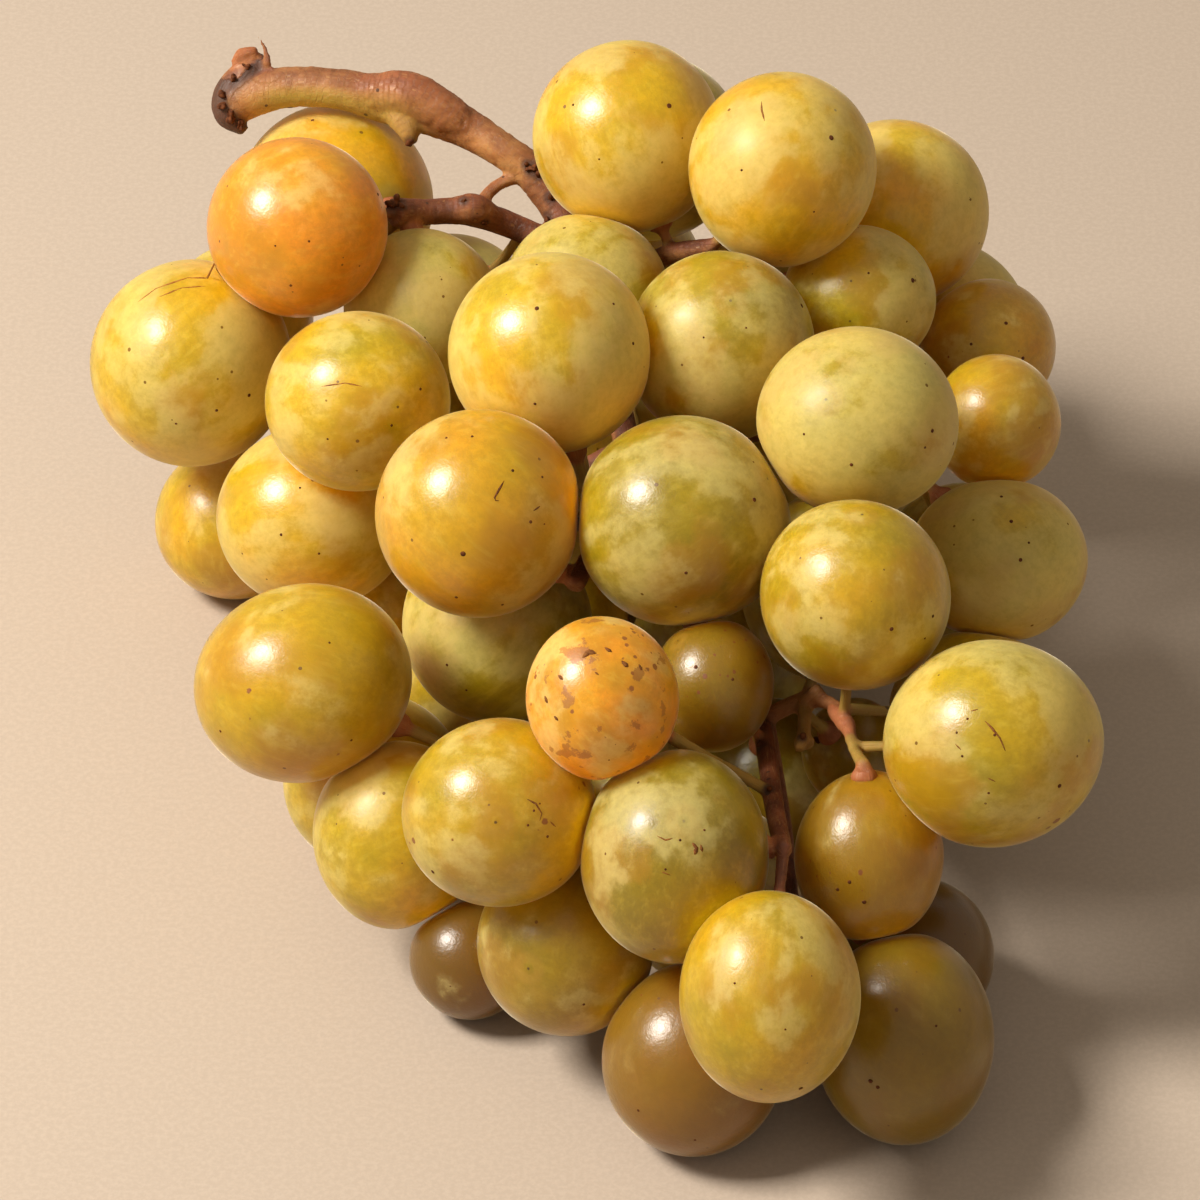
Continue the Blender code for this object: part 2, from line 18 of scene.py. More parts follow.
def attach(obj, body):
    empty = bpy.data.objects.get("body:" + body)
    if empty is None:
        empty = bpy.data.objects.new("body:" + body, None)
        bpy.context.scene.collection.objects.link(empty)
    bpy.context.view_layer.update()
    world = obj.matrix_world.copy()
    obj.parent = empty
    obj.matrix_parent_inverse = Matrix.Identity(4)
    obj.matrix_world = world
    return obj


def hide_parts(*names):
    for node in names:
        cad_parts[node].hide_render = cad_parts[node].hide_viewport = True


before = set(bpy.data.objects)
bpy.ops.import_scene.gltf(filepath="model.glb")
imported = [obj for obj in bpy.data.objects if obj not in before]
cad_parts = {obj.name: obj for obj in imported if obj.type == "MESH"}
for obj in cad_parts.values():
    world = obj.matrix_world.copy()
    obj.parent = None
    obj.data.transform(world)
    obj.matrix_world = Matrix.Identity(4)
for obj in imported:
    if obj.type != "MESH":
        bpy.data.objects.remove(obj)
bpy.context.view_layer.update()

MM = 0.001

# Near side of the bunch: places are given as seen from above the front, from a point
# SIGHT_DISTANCE away, looking down by SIGHT_TILT at a spot AIM_HEIGHT over the ground.
SIGHT_TILT = math.radians(40.0)
SIGHT_DISTANCE = 750 * MM
AIM_HEIGHT = 35 * MM

# Berries of the near side, in mm: across, up and towards the viewer from the spot aimed
# at, half widths across and up as they look from there, and slant in degrees.
NEAR_BERRIES = [
    (-36.7, 45.4, -24, 11.0, 10.8, 0),
    (-32.2, 48.6, -47, 11.8, 11.8, 0),
    (-49.8, 28.7, -36, 12.0, 12.5, 0),
    (-29.4, 24.4, -8, 11.3, 10.8, 0),
    (-6.1, 30.1, 5, 12.1, 12.2, 0),
    (-15.7, 10.6, 15, 12.4, 12.6, 0),
    (-21.6, 35.7, -36, 9.4, 9.6, 0),
    (-35.0, 10.1, -27, 11.8, 11.0, 0),
    (-44.4, 9.6, -50, 9.6, 9.4, 0),
    (-36.4, -9.6, 13, 13.2, 12.0, 15),
    (-24.4, -28.7, 6, 10.3, 11.3, 0),
    (-27.5, -21.6, -12, 10.8, 10.8, 0),
    (-12.8, -25.6, 31, 11.8, 11.4, 0),
    (0.4, -11.9, 39, 9.3, 9.9, 0),
    (-12.5, -3.1, -5, 11.5, 11.8, 0),
    (10.0, 9.6, 14, 12.9, 12.8, 0),
    (14.8, 31.0, -3, 11.4, 11.4, 0),
    (-1.6, 36.7, -17, 10.1, 9.9, 0),
    (3.5, 56.6, -20, 11.3, 11.6, 0),
    (22.0, 52.5, -5, 11.4, 11.7, 0),
    (36.0, 47.2, -31, 11.2, 11.2, 0),
    (31.5, 36.4, -14, 9.2, 8.9, 0),
    (47.2, 30.8, -26, 8.2, 8.2, 0),
    (32.1, 22.2, 15, 12.1, 11.4, 0),
    (48.2, 21.9, -8, 7.8, 8.2, 0),
    (48.4, 4.5, 0, 10.8, 10.1, 0),
    (31.0, 0.6, 26, 11.5, 11.5, 0),
    (48.0, -17.2, 33, 13.3, 12.5, 0),
    (13.9, -11.0, 18, 7.3, 8.1, 0),
    (32.4, -30.6, 24, 9.0, 10.3, 0),
    (9.5, -31.0, 33, 11.4, 12.9, 0),
    (20.7, -48.4, 48, 10.9, 12.8, 0),
    (12.0, -56.4, 29, 11.0, 11.8, 0),
    (37.2, -53.6, 28, 10.8, 13.0, 0),
    (-4.2, -41.8, 20, 10.7, 11.0, 0),
    (-16.0, -43.7, 8, 7.3, 7.3, 0),
    (38.8, -43.5, 12, 8.9, 9.4, 0),
    (30.8, -18.6, -6, 6.3, 6.6, 0),
    (21.1, -21.8, -8, 9.9, 9.9, 0),
    (-25.9, -1.9, -22, 8.6, 8.6, 0),
    (-21.9, -11.5, -14, 8.2, 8.2, 0),
]

# Stem runs of the near side, in the same frame and mm: across, up, near, half thickness.
SEEN_RUNS = {
    "cane": [
        (-46.1, 58.2, -46, 2.3), (-44.2, 62.3, -46, 3.1), (-42.6, 66.0, -46, 1.7)],
    "peduncle": [
        (-44.6, 60.6, -46, 2.9), (-38.8, 62.3, -45, 2.7), (-32.2, 62.2, -44, 2.6),
        (-26.3, 60.9, -44, 3.0), (-20.9, 59.5, -43, 3.1), (-16.0, 57.3, -43, 2.6),
        (-12.0, 54.8, -42, 2.3), (-8.5, 52.4, -42, 2.3)],
    "left": [
        (-2.9, 41.3, -40, 1.7), (-9.2, 44.9, -42, 1.7), (-16.0, 47.2, -39, 1.8),
        (-21.1, 47.2, -37, 1.7), (-25.1, 47.2, -34, 1.9)],
    "loop": [
        (-8.8, 52.0, -42, 1.0), (-12.7, 50.3, -41, 0.8), (-15.0, 47.5, -39, 1.0)],
    "tip": [
        (19.8, -15.1, 8, 1.3), (21.2, -25.1, 25, 1.2), (22.3, -30.5, 35, 1.1)],
    "twig": [
        (19.8, -14.5, 8, 1.1), (24.9, -12.2, 10, 1.0), (28.9, -13.2, 14, 0.8),
        (31.0, -17.9, 20, 0.7)],
    "stub": [
        (25.0, -12.6, 10, 0.9), (24.8, -16.5, 13, 0.9), (24.9, -17.6, 14, 1.5)],
}

# Stem runs inside the bunch, in mm: x, y, z, half thickness.
INNER_RUNS = {
    "rachis": [
        (-9.0, 67.8, 50.4, 2.4), (-5.0, 63.0, 46.0, 2.0), (-2.0, 53.0, 42.0, 1.9),
        (1.0, 40.0, 39.0, 1.8), (4.0, 25.0, 37.0, 1.7), (8.0, 8.0, 34.0, 1.6),
        (14.0, -6.0, 31.0, 1.5), (20.0, -16.0, 28.5, 1.4)],
    "crown": [
        (-1.5, 50.0, 41.0, 1.5), (4.5, 47.5, 49.0, 1.4), (9.0, 43.5, 55.0, 1.3),
        (14.0, 41.0, 58.0, 1.1)],
    "right_back": [
        (-1.5, 51.0, 41.0, 1.6), (12.0, 48.0, 42.0, 1.4), (25.0, 46.0, 43.0, 1.3),
        (34.0, 44.0, 43.0, 1.1)],
    "right": [
        (4.0, 25.0, 37.0, 1.5), (18.0, 24.0, 42.0, 1.4), (30.0, 20.0, 45.0, 1.3),
        (38.0, 14.0, 45.0, 1.1)],
    "left_low": [
        (3.5, 27.0, 37.0, 1.5), (-8.0, 24.0, 33.0, 1.3), (-19.0, 26.0, 30.0, 1.1)],
    "middle": [
        (8.0, 8.0, 34.0, 1.4), (0.0, 2.0, 41.0, 1.3), (-3.0, -8.0, 44.0, 1.1)],
    "lower": [
        (14.0, -6.0, 31.0, 1.3), (2.0, -14.0, 27.0, 1.2), (-11.0, -22.0, 23.0, 1.0)],
    "tip_low": [
        (20.0, -16.0, 28.5, 1.2), (22.0, -28.0, 22.0, 1.1), (23.0, -46.0, 18.0, 1.0)],
    "back_low": [
        (-2.5, 54.0, 41.5, 1.4), (0.0, 57.0, 32.0, 1.3), (3.0, 56.0, 25.0, 1.1)],
}
BARE_RUNS = ("cane", "peduncle", "loop", "stub")
STEM_STEP = 1.5 * MM

# Far side and underneath: radii of the berries packed there, tried from large to small,
# and how far from the stem a berry's centre may hang.
FAR_RADII = (11.8, 11.2, 10.6, 10.0, 9.4, 8.8, 8.2)
FAR_REACH = 27 * MM
FAR_COUNT = 32
FAR_GRID = 3.4 * MM
FAR_LOW = (-56.0, -62.0, 8.0)
FAR_HIGH = (54.0, 76.0, 66.0)
SEED = 7

# A far berry counts as hidden where a near one lies in front by this part of its radius.
# Its rim may show by RIM_SHOWS, in parts of the near berry's radius, between two near ones.
FRONT_SHARE = 0.3
RIM_SHOWS = 1.25
RIM_POINTS = 16
GROUND_LIKING = 0.15

# Settling: how deep berries press into each other, how deep the pairs that hold a
# cluster together do, the gaps between clusters and to the stem, and the ground flats.
PRESS = 0.4 * MM
HOLD = 1.4 * MM
CLUSTER_GAP = 0.75 * MM
STEM_GAP = 0.7 * MM
GROUND_FLAT = 0.6 * MM
GROUND_REACH = 2.6 * MM
DEEPEST_PRESS = 1.6 * MM
SETTLE_STEPS = 600

# Shares of each overlap that a settling step takes away, and how strongly a near berry
# is drawn back to its place, across its sight line and along it.
BERRY_YIELD = 0.3
LINK_YIELD = 1.6
STEM_YIELD = 1.2
GROUND_YIELD = 0.5
ACROSS_YIELD = 0.25
HOME_ACROSS = 0.12
HOME_ALONG = 0.015

# Clusters, each grown from the berry nearest to a place (x, y, z in mm), and the most
# berries in one.
CLUSTER_SEEDS = {
    "berries_left_shoulder": (-40.0, 40.0, 45.0),
    "berries_crown": (4.0, 50.0, 55.0),
    "berries_right_shoulder": (42.0, 40.0, 45.0),
    "berries_middle": (-8.0, 5.0, 50.0),
    "berries_right_side": (42.0, -8.0, 38.0),
    "berries_lower_left": (-22.0, -24.0, 28.0),
    "berries_tip": (25.0, -50.0, 22.0),
    "berries_back": (-15.0, 58.0, 18.0),
    "berries_underside": (4.0, 12.0, 14.0),
}
CLUSTER_LIMIT = 11
LONGEST_LINK = 3 * MM

# Cost of taking a berry into a cluster, in metres: per gap to it, per distance of the
# cluster's seed, for a full cluster, for a long link, and for a pair that can't be taken.
GAP_COST = 10.0
SPREAD_COST = 0.3
FULL_COST = 1.0
LONG_COST = 2.0
NO_LINK = 9.0

# Pedicels: thickness, the room kept round them, and how a way to the stem is looked for.
PEDICEL_RADIUS = 0.75 * MM
PEDICEL_CLEARANCE = 0.4 * MM
PEDICEL_REACH = 36 * MM
PEDICEL_BENDS = (4 * MM, 8 * MM, 12 * MM)
PEDICEL_ROOTS = 60
PEDICEL_SIDES = 8
KNEE_PLACE = 0.45
PATH_STEP = 1.2 * MM


def sight_axes():
    """Across, up and forward directions of the near side's frame."""
    across = np.array([1.0, 0.0, 0.0])
    up = np.array([0.0, math.sin(SIGHT_TILT), math.cos(SIGHT_TILT)])
    forward = np.array([0.0, math.cos(SIGHT_TILT), -math.sin(SIGHT_TILT)])
    return across, up, forward


def viewpoint():
    """The point that the near side is seen from."""
    return np.array([0.0, 0.0, AIM_HEIGHT]) - SIGHT_DISTANCE * sight_axes()[2]


def sight_line(a, u):
    """Way from the viewpoint to a place across and up, in mm, for one metre of depth."""
    across, up, forward = sight_axes()
    return forward + (a * across + u * up) * MM / SIGHT_DISTANCE


def seen_points(rows):
    """Points x, y, z and half thickness, in metres, of rows given as seen."""
    return np.array([
        (*(viewpoint() + (SIGHT_DISTANCE - near * MM) * sight_line(a, u)), half * MM)
        for a, u, near, half in rows])


class Berries:
    """Centres, shape matrices and sight lines of the berries, in metres."""

    def __init__(self):
        across, up, forward = sight_axes()
        self.eye = viewpoint()
        centres, shapes, lines = [], [], []
        for a, u, near, half_a, half_u, slant in NEAR_BERRIES:
            line = sight_line(a, u)
            depth = SIGHT_DISTANCE - near * MM
            scale = MM * depth / SIGHT_DISTANCE
            turn = math.radians(slant)
            first = math.cos(turn) * across + math.sin(turn) * up
            second = -math.sin(turn) * across + math.cos(turn) * up
            third = min(half_a, half_u)
            shape = half_a**2 * np.outer(first, first)
            shape += half_u**2 * np.outer(second, second)
            shape += third**2 * np.outer(forward, forward)
            centres.append(self.eye + depth * line)
            shapes.append(shape * scale**2)
            lines.append(line / np.linalg.norm(line))
        self.centre = np.array(centres)
        self.shape = np.array(shapes)
        self.line = np.array(lines)
        self.home = self.centre.copy()
        self.near_count = len(NEAR_BERRIES)


def half_width(shape, direction):
    """Half width of a berry, or of each of several, along a unit direction."""
    return np.sqrt(np.einsum("...i,...ij,...j->...", direction, shape, direction))


def pair_gaps(centre, shape):
    """Gaps between all pairs of berries and the unit directions between them."""
    offset = centre[None] - centre[:, None]
    distance = np.linalg.norm(offset, axis=2) + np.eye(len(centre))
    direction = offset / distance[..., None]
    gap = distance - half_width(shape[:, None], direction)
    gap -= half_width(shape[None], direction)
    np.fill_diagonal(gap, 1.0)
    return gap, direction


def stem_runs():
    """Every stem run by name: rows of x, y, z and half thickness, in metres."""
    runs = {name: seen_points(rows) for name, rows in SEEN_RUNS.items()}
    return runs | {name: np.array(rows) * MM for name, rows in INNER_RUNS.items()}


def stem_samples(runs):
    """Points along every stem run, closely spaced, with the half thickness there."""
    rows = []
    for run in runs.values():
        for start, end in zip(run, run[1:]):
            count = max(2, math.ceil(np.linalg.norm((end - start)[:3]) / STEM_STEP))
            for step in range(count + 1):
                rows.append(start + (end - start) * step / count)
    return np.array(rows)


def settle(berries, samples, links=(), cluster=None):
    """Moves the berries until they no longer cross each other, the stem or the ground.

    A berry of the near side stays on its sight line. Pairs in links are drawn together
    and berries of different clusters are kept apart.
    """
    near = berries.near_count
    target = np.full((len(berries.centre), len(berries.centre)), -PRESS)
    if cluster is not None:
        target[cluster[:, None] != cluster[None]] = CLUSTER_GAP
    for _ in range(SETTLE_STEPS):
        centre = berries.centre
        gap, direction = pair_gaps(centre, berries.shape)
        shove = np.where(gap < target, target - gap, 0.0)
        if cluster is not None:
            same = cluster[:, None] == cluster[None]
            shove[same] = np.where(gap < -DEEPEST_PRESS, -DEEPEST_PRESS - gap, 0.0)[same]
        for one, other in links:
            pull = -LINK_YIELD * (gap[one, other] + HOLD)
            shove[one, other] += pull
            shove[other, one] += pull
        push = -BERRY_YIELD * (shove[..., None] * direction).sum(axis=1)

        away = centre[:, None] - samples[None, :, :3]
        distance = np.linalg.norm(away, axis=2)
        away /= distance[..., None]
        room = distance - half_width(berries.shape[:, None], away) - samples[None, :, 3]
        tight = np.argmin(room, axis=1)
        rows = np.arange(len(centre))
        short = np.maximum(STEM_GAP - room[rows, tight], 0.0)
        push += STEM_YIELD * short[:, None] * away[rows, tight]

        low = centre[:, 2] - np.sqrt(berries.shape[:, 2, 2])
        sink = GROUND_YIELD * (low + GROUND_FLAT)
        push[:, 2] -= np.where(low < GROUND_REACH, sink, 0.0)

        line = berries.line[:near]
        along = (push[:near] * line).sum(axis=1)[:, None] * line
        drift = centre[:near] - berries.home
        drift_along = (drift * line).sum(axis=1)[:, None] * line
        push[:near] = along + ACROSS_YIELD * (push[:near] - along)
        push[:near] -= HOME_ACROSS * (drift - drift_along) + HOME_ALONG * drift_along
        berries.centre = centre + push


def plane_places(berries, centre):
    """Places on the plane through the spot aimed at, and depths, as seen."""
    across, up, forward = sight_axes()
    ray = centre - berries.eye
    depth = ray @ forward
    places = np.stack([ray @ across, ray @ up], axis=-1)
    return places * (SIGHT_DISTANCE / depth)[..., None], depth


def pack_far_side(berries, samples):
    """Adds berries behind and under the near ones, each where it nests closest."""
    rng = np.random.default_rng(SEED)
    near_place, near_depth = plane_places(berries, berries.centre)
    near_radius = np.cbrt(np.sqrt(np.linalg.det(berries.shape)))
    near_seen = near_radius * SIGHT_DISTANCE / near_depth
    steps = [
        np.arange(low * MM, high * MM, FAR_GRID) for low, high in zip(FAR_LOW, FAR_HIGH)]
    grid = np.stack(np.meshgrid(*steps, indexing="ij"), axis=-1).reshape(-1, 3)
    grid += rng.uniform(-0.5, 0.5, grid.shape) * FAR_GRID
    circle = np.linspace(0, 2 * math.pi, RIM_POINTS, endpoint=False)
    circle = np.stack([np.cos(circle), np.sin(circle)], axis=1)
    added = 0
    for radius in FAR_RADII:
        radius = radius * MM
        spots = grid.copy()
        spots[:, 2] = np.maximum(spots[:, 2], radius - GROUND_FLAT)
        distance = np.linalg.norm(spots[:, None] - samples[None, :, :3], axis=2)
        room = (distance - samples[None, :, 3]).min(axis=1)
        spots = spots[(room > radius + STEM_GAP) & (room < FAR_REACH)]
        place, depth = plane_places(berries, spots)
        seen = radius * SIGHT_DISTANCE / depth
        rim = place[:, None] + seen[:, None, None] * circle
        reach = np.linalg.norm(rim[:, :, None] - near_place, axis=3) / near_seen
        in_front = near_depth < depth[:, None, None] - FRONT_SHARE * radius
        hidden = ((reach < 1.0) & in_front).any(axis=2)
        hidden |= ((reach < RIM_SHOWS) & in_front).sum(axis=2) > 1
        spots = spots[hidden.all(axis=1)]
        while added < FAR_COUNT and len(spots):
            offset = spots[:, None] - berries.centre[None]
            distance = np.linalg.norm(offset, axis=2)
            gap = distance - radius
            gap -= half_width(berries.shape[None], offset / (distance[..., None] + 1e-9))
            free = gap.min(axis=1) > -PRESS
            spots, gap = spots[free], gap[free]
            if not len(spots):
                break
            ground = spots[:, 2:3] - radius
            nearest = np.sort(np.concatenate([gap, ground], axis=1), axis=1)[:, :3]
            height = np.abs(ground[:, 0])
            chosen = np.argmin(nearest.sum(axis=1) + GROUND_LIKING * height)
            berries.centre = np.vstack([berries.centre, spots[chosen]])
            shape = np.eye(3)[None] * radius**2
            berries.shape = np.concatenate([berries.shape, shape])
            added += 1


def grow_clusters(berries):
    """Shares the berries out to clusters by their contacts and nearness to the seeds."""
    gap, _ = pair_gaps(berries.centre, berries.shape)
    places = np.array(list(CLUSTER_SEEDS.values())) * MM
    spread = np.linalg.norm(berries.centre[None] - places[:, None], axis=2)
    cluster = np.full(len(berries.centre), -1)
    cluster[np.argmin(spread, axis=1)] = np.arange(len(places))
    links = []
    while (cluster < 0).any():
        size = np.bincount(cluster[cluster >= 0], minlength=len(places))
        cost = GAP_COST * np.maximum(gap, 0.0) + SPREAD_COST * spread[cluster]
        cost += np.where(size[cluster] < CLUSTER_LIMIT, 0.0, FULL_COST)[:, None]
        cost += np.where(gap > LONGEST_LINK, LONG_COST, 0.0)
        cost[cluster < 0] = NO_LINK
        cost[:, cluster >= 0] = NO_LINK
        one, other = np.unravel_index(np.argmin(cost), cost.shape)
        cluster[other] = cluster[one]
        links.append((one, other))
    return cluster, links


def path_is_clear(points, berries, own):
    """True where a pedicel along the points passes every berry but its own."""
    others = np.arange(len(berries.centre)) != own
    centre, shape = berries.centre[others], berries.shape[others]
    for start, end in zip(points, points[1:]):
        count = max(2, math.ceil(np.linalg.norm(end - start) / PATH_STEP))
        steps = start + (end - start) * np.linspace(0, 1, count)[:, None]
        away = steps[:, None] - centre[None]
        distance = np.linalg.norm(away, axis=2)
        room = distance - half_width(shape[None], away / distance[..., None])
        if room.min() < PEDICEL_RADIUS + PEDICEL_CLEARANCE:
            return False
    return True


def find_pedicel(berries, own, samples):
    """Points from the stem to the berry's surface: straight if clear, or bent once."""
    centre = berries.centre[own]
    offset = samples[:, :3] - centre
    distance = np.linalg.norm(offset, axis=1)
    order = np.argsort(distance)
    order = order[distance[order] < PEDICEL_REACH][:PEDICEL_ROOTS:2]
    for bend in (0.0, *PEDICEL_BENDS):
        for index in order:
            root = samples[index, :3]
            along = offset[index] / distance[index]
            side = np.cross(along, (0.0, 0.0, 1.0))
            side /= np.linalg.norm(side)
            rise = np.cross(side, along)
            own_reach = half_width(berries.shape[own], along)
            middle = centre + along * (KNEE_PLACE * distance[index] + own_reach / 2)
            for turn in range(1 if bend == 0.0 else PEDICEL_SIDES):
                angle = 2 * math.pi * turn / PEDICEL_SIDES
                knee = middle + bend * (math.cos(angle) * side + math.sin(angle) * rise)
                out = knee - centre
                out /= np.linalg.norm(out)
                surface = centre + out * half_width(berries.shape[own], out)
                points = [root, knee, surface]
                if np.linalg.norm(knee - centre) < np.linalg.norm(surface - centre) + MM:
                    points = [root, surface]
                if path_is_clear(points, berries, own):
                    return points
    return None


def lay_out():
    """Berries, their clusters, the stem runs and the pedicels, centred over the origin."""
    runs = stem_runs()
    samples = stem_samples(runs)
    berries = Berries()
    settle(berries, samples)
    pack_far_side(berries, samples)
    settle(berries, samples)
    cluster, links = grow_clusters(berries)
    settle(berries, samples, links, cluster)
    fruiting = {name: run for name, run in runs.items() if name not in BARE_RUNS}
    roots = stem_samples(fruiting)
    pedicels = [find_pedicel(berries, own, roots) for own in range(len(berries.centre))]

    reach = np.sqrt(np.einsum("nii->ni", berries.shape))
    low = np.minimum((berries.centre - reach).min(axis=0), samples[:, :3].min(axis=0))
    high = np.maximum((berries.centre + reach).max(axis=0), samples[:, :3].max(axis=0))
    shift = np.array([*(-(low + high) / 2)[:2], 0.0])
    berries.centre = berries.centre + shift
    for run in runs.values():
        run[:, :3] += shift
    pedicels = [None if path is None else np.array(path) + shift for path in pedicels]
    return berries, cluster, runs, pedicels, shift


# Berry meshes: fineness, growth over the settled size, the seed of the first berry's
# draws, and the way to the pedicel of a berry that has none.
SPHERE_LEVEL = 5
SWELL = 1.014
BERRY_SEED = 100
FREE_POLE = (0.0, 0.3, 0.95)

# Lumps of a ball: ways and phases of their waves, the sum that counts as the highest, and
# its height in parts of the radius.
LUMP_WAVES = ((2.1, 1.3, 0.7), (-1.1, 2.3, 1.9), (0.8, -1.7, 2.6))
LUMP_PHASE = 2.1
LUMP_SUM = 1.7
LUMP_HEIGHT = 0.010

# Contacts: the gap below which a pair presses, how softly its flats begin, the room left
# between them, and the most that the exponential is given.
CONTACT_REACH = 0.6 * MM
CONTACT_SOFTNESS = 0.35 * MM
CONTACT_PARTING = 0.02 * MM
EXPONENT_LIMIT = 30.0

# Marks on the skins: pin points in parts of their listed radius, their height, the steps
# along a scar in parts of the berry's radius, and a scar's ends, depth and waviness.
SPOT_SCALE = 0.8 * MM
SPOT_HEIGHT = 0.08 * MM
SCAR_STEP = 0.04
SCAR_END = 0.45
SCAR_TAPER = 4.0
SCAR_SINK = 0.45
SCAR_WAVE = 9.0
SCAR_SIDES = 8

# Patterns of the skins, in ball radii: spread of each noise, where the rest of a berry's
# values come in, and where the noises of the tan and the russet start.
FIELD_SPREAD = 0.13
STREAK_STRETCH = (2.6, 2.6, 0.55)
BLOOM_GAIN = 0.26
# How much pale film dull skin loses; the dullness is partly painted shade on the low berries.
DULL_AND_SHADE_LOSS = 0.16
TAN_START = (7.0, 3.0, 5.0)
RUSSET_START = (3.0, 8.0, 1.0)
BLOTCHY_RUSSET = 0.5

# Berries whose blossom end shows: number in the near list, and where the scar lies as
# seen, across and up in parts of the radius.
BLOSSOM_ENDS = {
    16: (0.08, 0.43),
    30: (0.09, 0.35),
    34: (-0.41, -0.20),
    3: (0.45, -0.10),
}

# Looks of the near berries by number: ripeness from 0 green over 0.5 golden to 1 amber,
# how much bloom the skin keeps, and how brown and dull it is. On the low berries near the
# ground, such as 32 to 36, the dullness is partly painted shade. Others draw their own.
LOOKS = {
    0: (0.97, 0.02, 0.10), 1: (0.74, 0.48, 0.02), 2: (0.48, 0.62, 0.05),
    3: (0.48, 0.64, 0.00), 4: (0.48, 0.74, 0.00), 5: (0.70, 0.18, 0.26),
    # Berries 6, 14, 20 and 25 keep extra bloom partly as painted light: paler where the berries
    # round them shade them.
    6: (0.36, 1.15, 0.00), 7: (0.58, 0.45, 0.05), 8: (0.62, 0.30, 0.10),
    9: (0.52, 0.22, 0.26), 10: (0.44, 0.45, 0.15), 11: (0.42, 0.45, 0.16),
    12: (0.44, 0.30, 0.24), 13: (0.88, 0.22, 0.04), 14: (0.28, 0.70, 0.00),
    15: (0.18, 0.48, 0.24), 16: (0.30, 0.68, 0.14), 17: (0.30, 0.70, 0.05),
    18: (0.54, 0.58, 0.00), 19: (0.60, 0.65, 0.00), 20: (0.58, 0.70, 0.00),
    21: (0.42, 0.60, 0.10), 22: (0.72, 0.30, 0.35), 23: (0.38, 0.95, 0.00),
    24: (0.60, 0.30, 0.25), 25: (0.45, 0.75, 0.03), 26: (0.44, 0.24, 0.22),
    27: (0.40, 0.50, 0.08), 28: (0.60, 0.05, 0.86), 29: (0.66, 0.15, 0.66),
    30: (0.14, 0.34, 0.36), 31: (0.52, 0.32, 0.24), 32: (0.80, 0.04, 0.96),
    33: (0.40, 0.02, 0.85), 34: (0.38, 0.26, 0.58), 35: (0.40, 0.00, 1.10),
    36: (0.22, 0.00, 1.10), 37: (0.50, 0.30, 0.60), 38: (0.10, 0.40, 0.50),
    39: (0.45, 0.60, 0.20), 40: (0.45, 0.60, 0.20),
}
# Lowest and highest of those three values for the berries that draw their own.
LOOKS_DRAWN = ((0.15, 0.30, 0.0), (0.66, 0.90, 0.12))

# Dark pin points of the near berries: across and up as seen in parts of the radius, and
# the radius in mm.
SPOTS = {
    0: [(0.90, 0.36, 0.30), (0.17, -0.20, 0.20), (-0.20, -0.25, 0.16), (-0.04, -0.67, 0.24)],
    1: [(-0.20, 0.80, 0.30)],
    2: [(0.30, -0.50, 0.25), (-0.10, -0.62, 0.2), (0.62, -0.35, 0.3)],
    3: [(0.40, -0.30, 0.22), (-0.30, -0.45, 0.18), (0.70, 0.10, 0.25)],
    4: [(-0.12, 0.40, 0.34), (0.62, 0.45, 0.22), (0.81, 0.07, 0.26), (-0.14, -0.53, 0.24)],
    5: [(0.34, 0.39, 0.24), (0.62, 0.33, 0.20), (0.51, -0.10, 0.26), (0.64, -0.12, 0.14),
        (-0.13, -0.40, 0.42), (-0.05, 0.72, 0.22), (-0.30, 0.71, 0.20), (-0.20, -0.80, 0.26),
        (0.23, -0.87, 0.24)],
    7: [(-0.30, -0.20, 0.24), (0.10, -0.40, 0.20), (-0.10, 0.30, 0.18)],
    9: [(-0.75, -0.45, 0.24), (0.50, -0.55, 0.20), (0.30, 0.40, 0.18)],
    11: [(-0.20, -0.40, 0.2)],
    12: [(-0.69, -0.60, 0.34), (0.36, 0.05, 0.20), (0.30, -0.10, 0.20), (0.50, -0.22, 0.22),
         (0.42, 0.12, 0.16)],
    14: [(0.20, 0.30, 0.2), (-0.50, -0.40, 0.24), (-0.30, -0.65, 0.2)],
    15: [(0.66, 0.20, 0.34), (0.02, -0.48, 0.26), (0.68, -0.42, 0.2)],
    16: [(0.84, 0.41, 0.36), (0.24, 0.15, 0.16), (-0.20, 0.05, 0.16)],
    18: [(0.43, 0.26, 0.42), (-0.57, 0.28, 0.22), (-0.30, -0.30, 0.16)],
    19: [(0.48, 0.27, 0.42), (-0.45, -0.07, 0.20), (0.30, -0.50, 0.16)],
    21: [(0.69, 0.21, 0.40), (0.10, 0.30, 0.2)],
    22: [(0.20, 0.30, 0.3), (-0.30, 0.0, 0.24), (0.45, -0.20, 0.3)],
    23: [(0.73, -0.11, 0.32), (-0.09, -0.47, 0.28), (-0.57, -0.15, 0.2), (0.66, -0.28, 0.2)],
    25: [(0.20, 0.0, 0.3), (0.0, 0.75, 0.26), (0.10, 0.45, 0.3), (0.30, 0.20, 0.2)],
    26: [(0.34, -0.35, 0.32), (0.78, -0.22, 0.26), (0.70, -0.45, 0.18)],
    27: [(0.57, -0.38, 0.34), (-0.30, 0.25, 0.2), (-0.40, 0.12, 0.18), (-0.35, -0.10, 0.2),
         (-0.10, -0.45, 0.2), (-0.05, 0.10, 0.22)],
    28: [(-0.30, 0.30, 0.3), (0.30, 0.10, 0.24)],
    29: [(-0.30, -0.30, 0.3), (-0.10, -0.55, 0.34), (-0.45, -0.40, 0.3)],
    30: [(0.05, 0.20, 0.2), (-0.10, -0.10, 0.18), (0.30, 0.30, 0.18)],
    31: [(0.30, -0.88, 0.36), (-0.40, 0.20, 0.18), (0.15, -0.30, 0.16)],
    32: [(0.0, -0.80, 0.2), (-0.60, -0.50, 0.24)],
    33: [(-0.40, -0.40, 0.36), (-0.32, -0.46, 0.3), (0.30, 0.20, 0.2)],
    34: [(0.20, -0.60, 0.22), (0.40, 0.30, 0.16)],
}

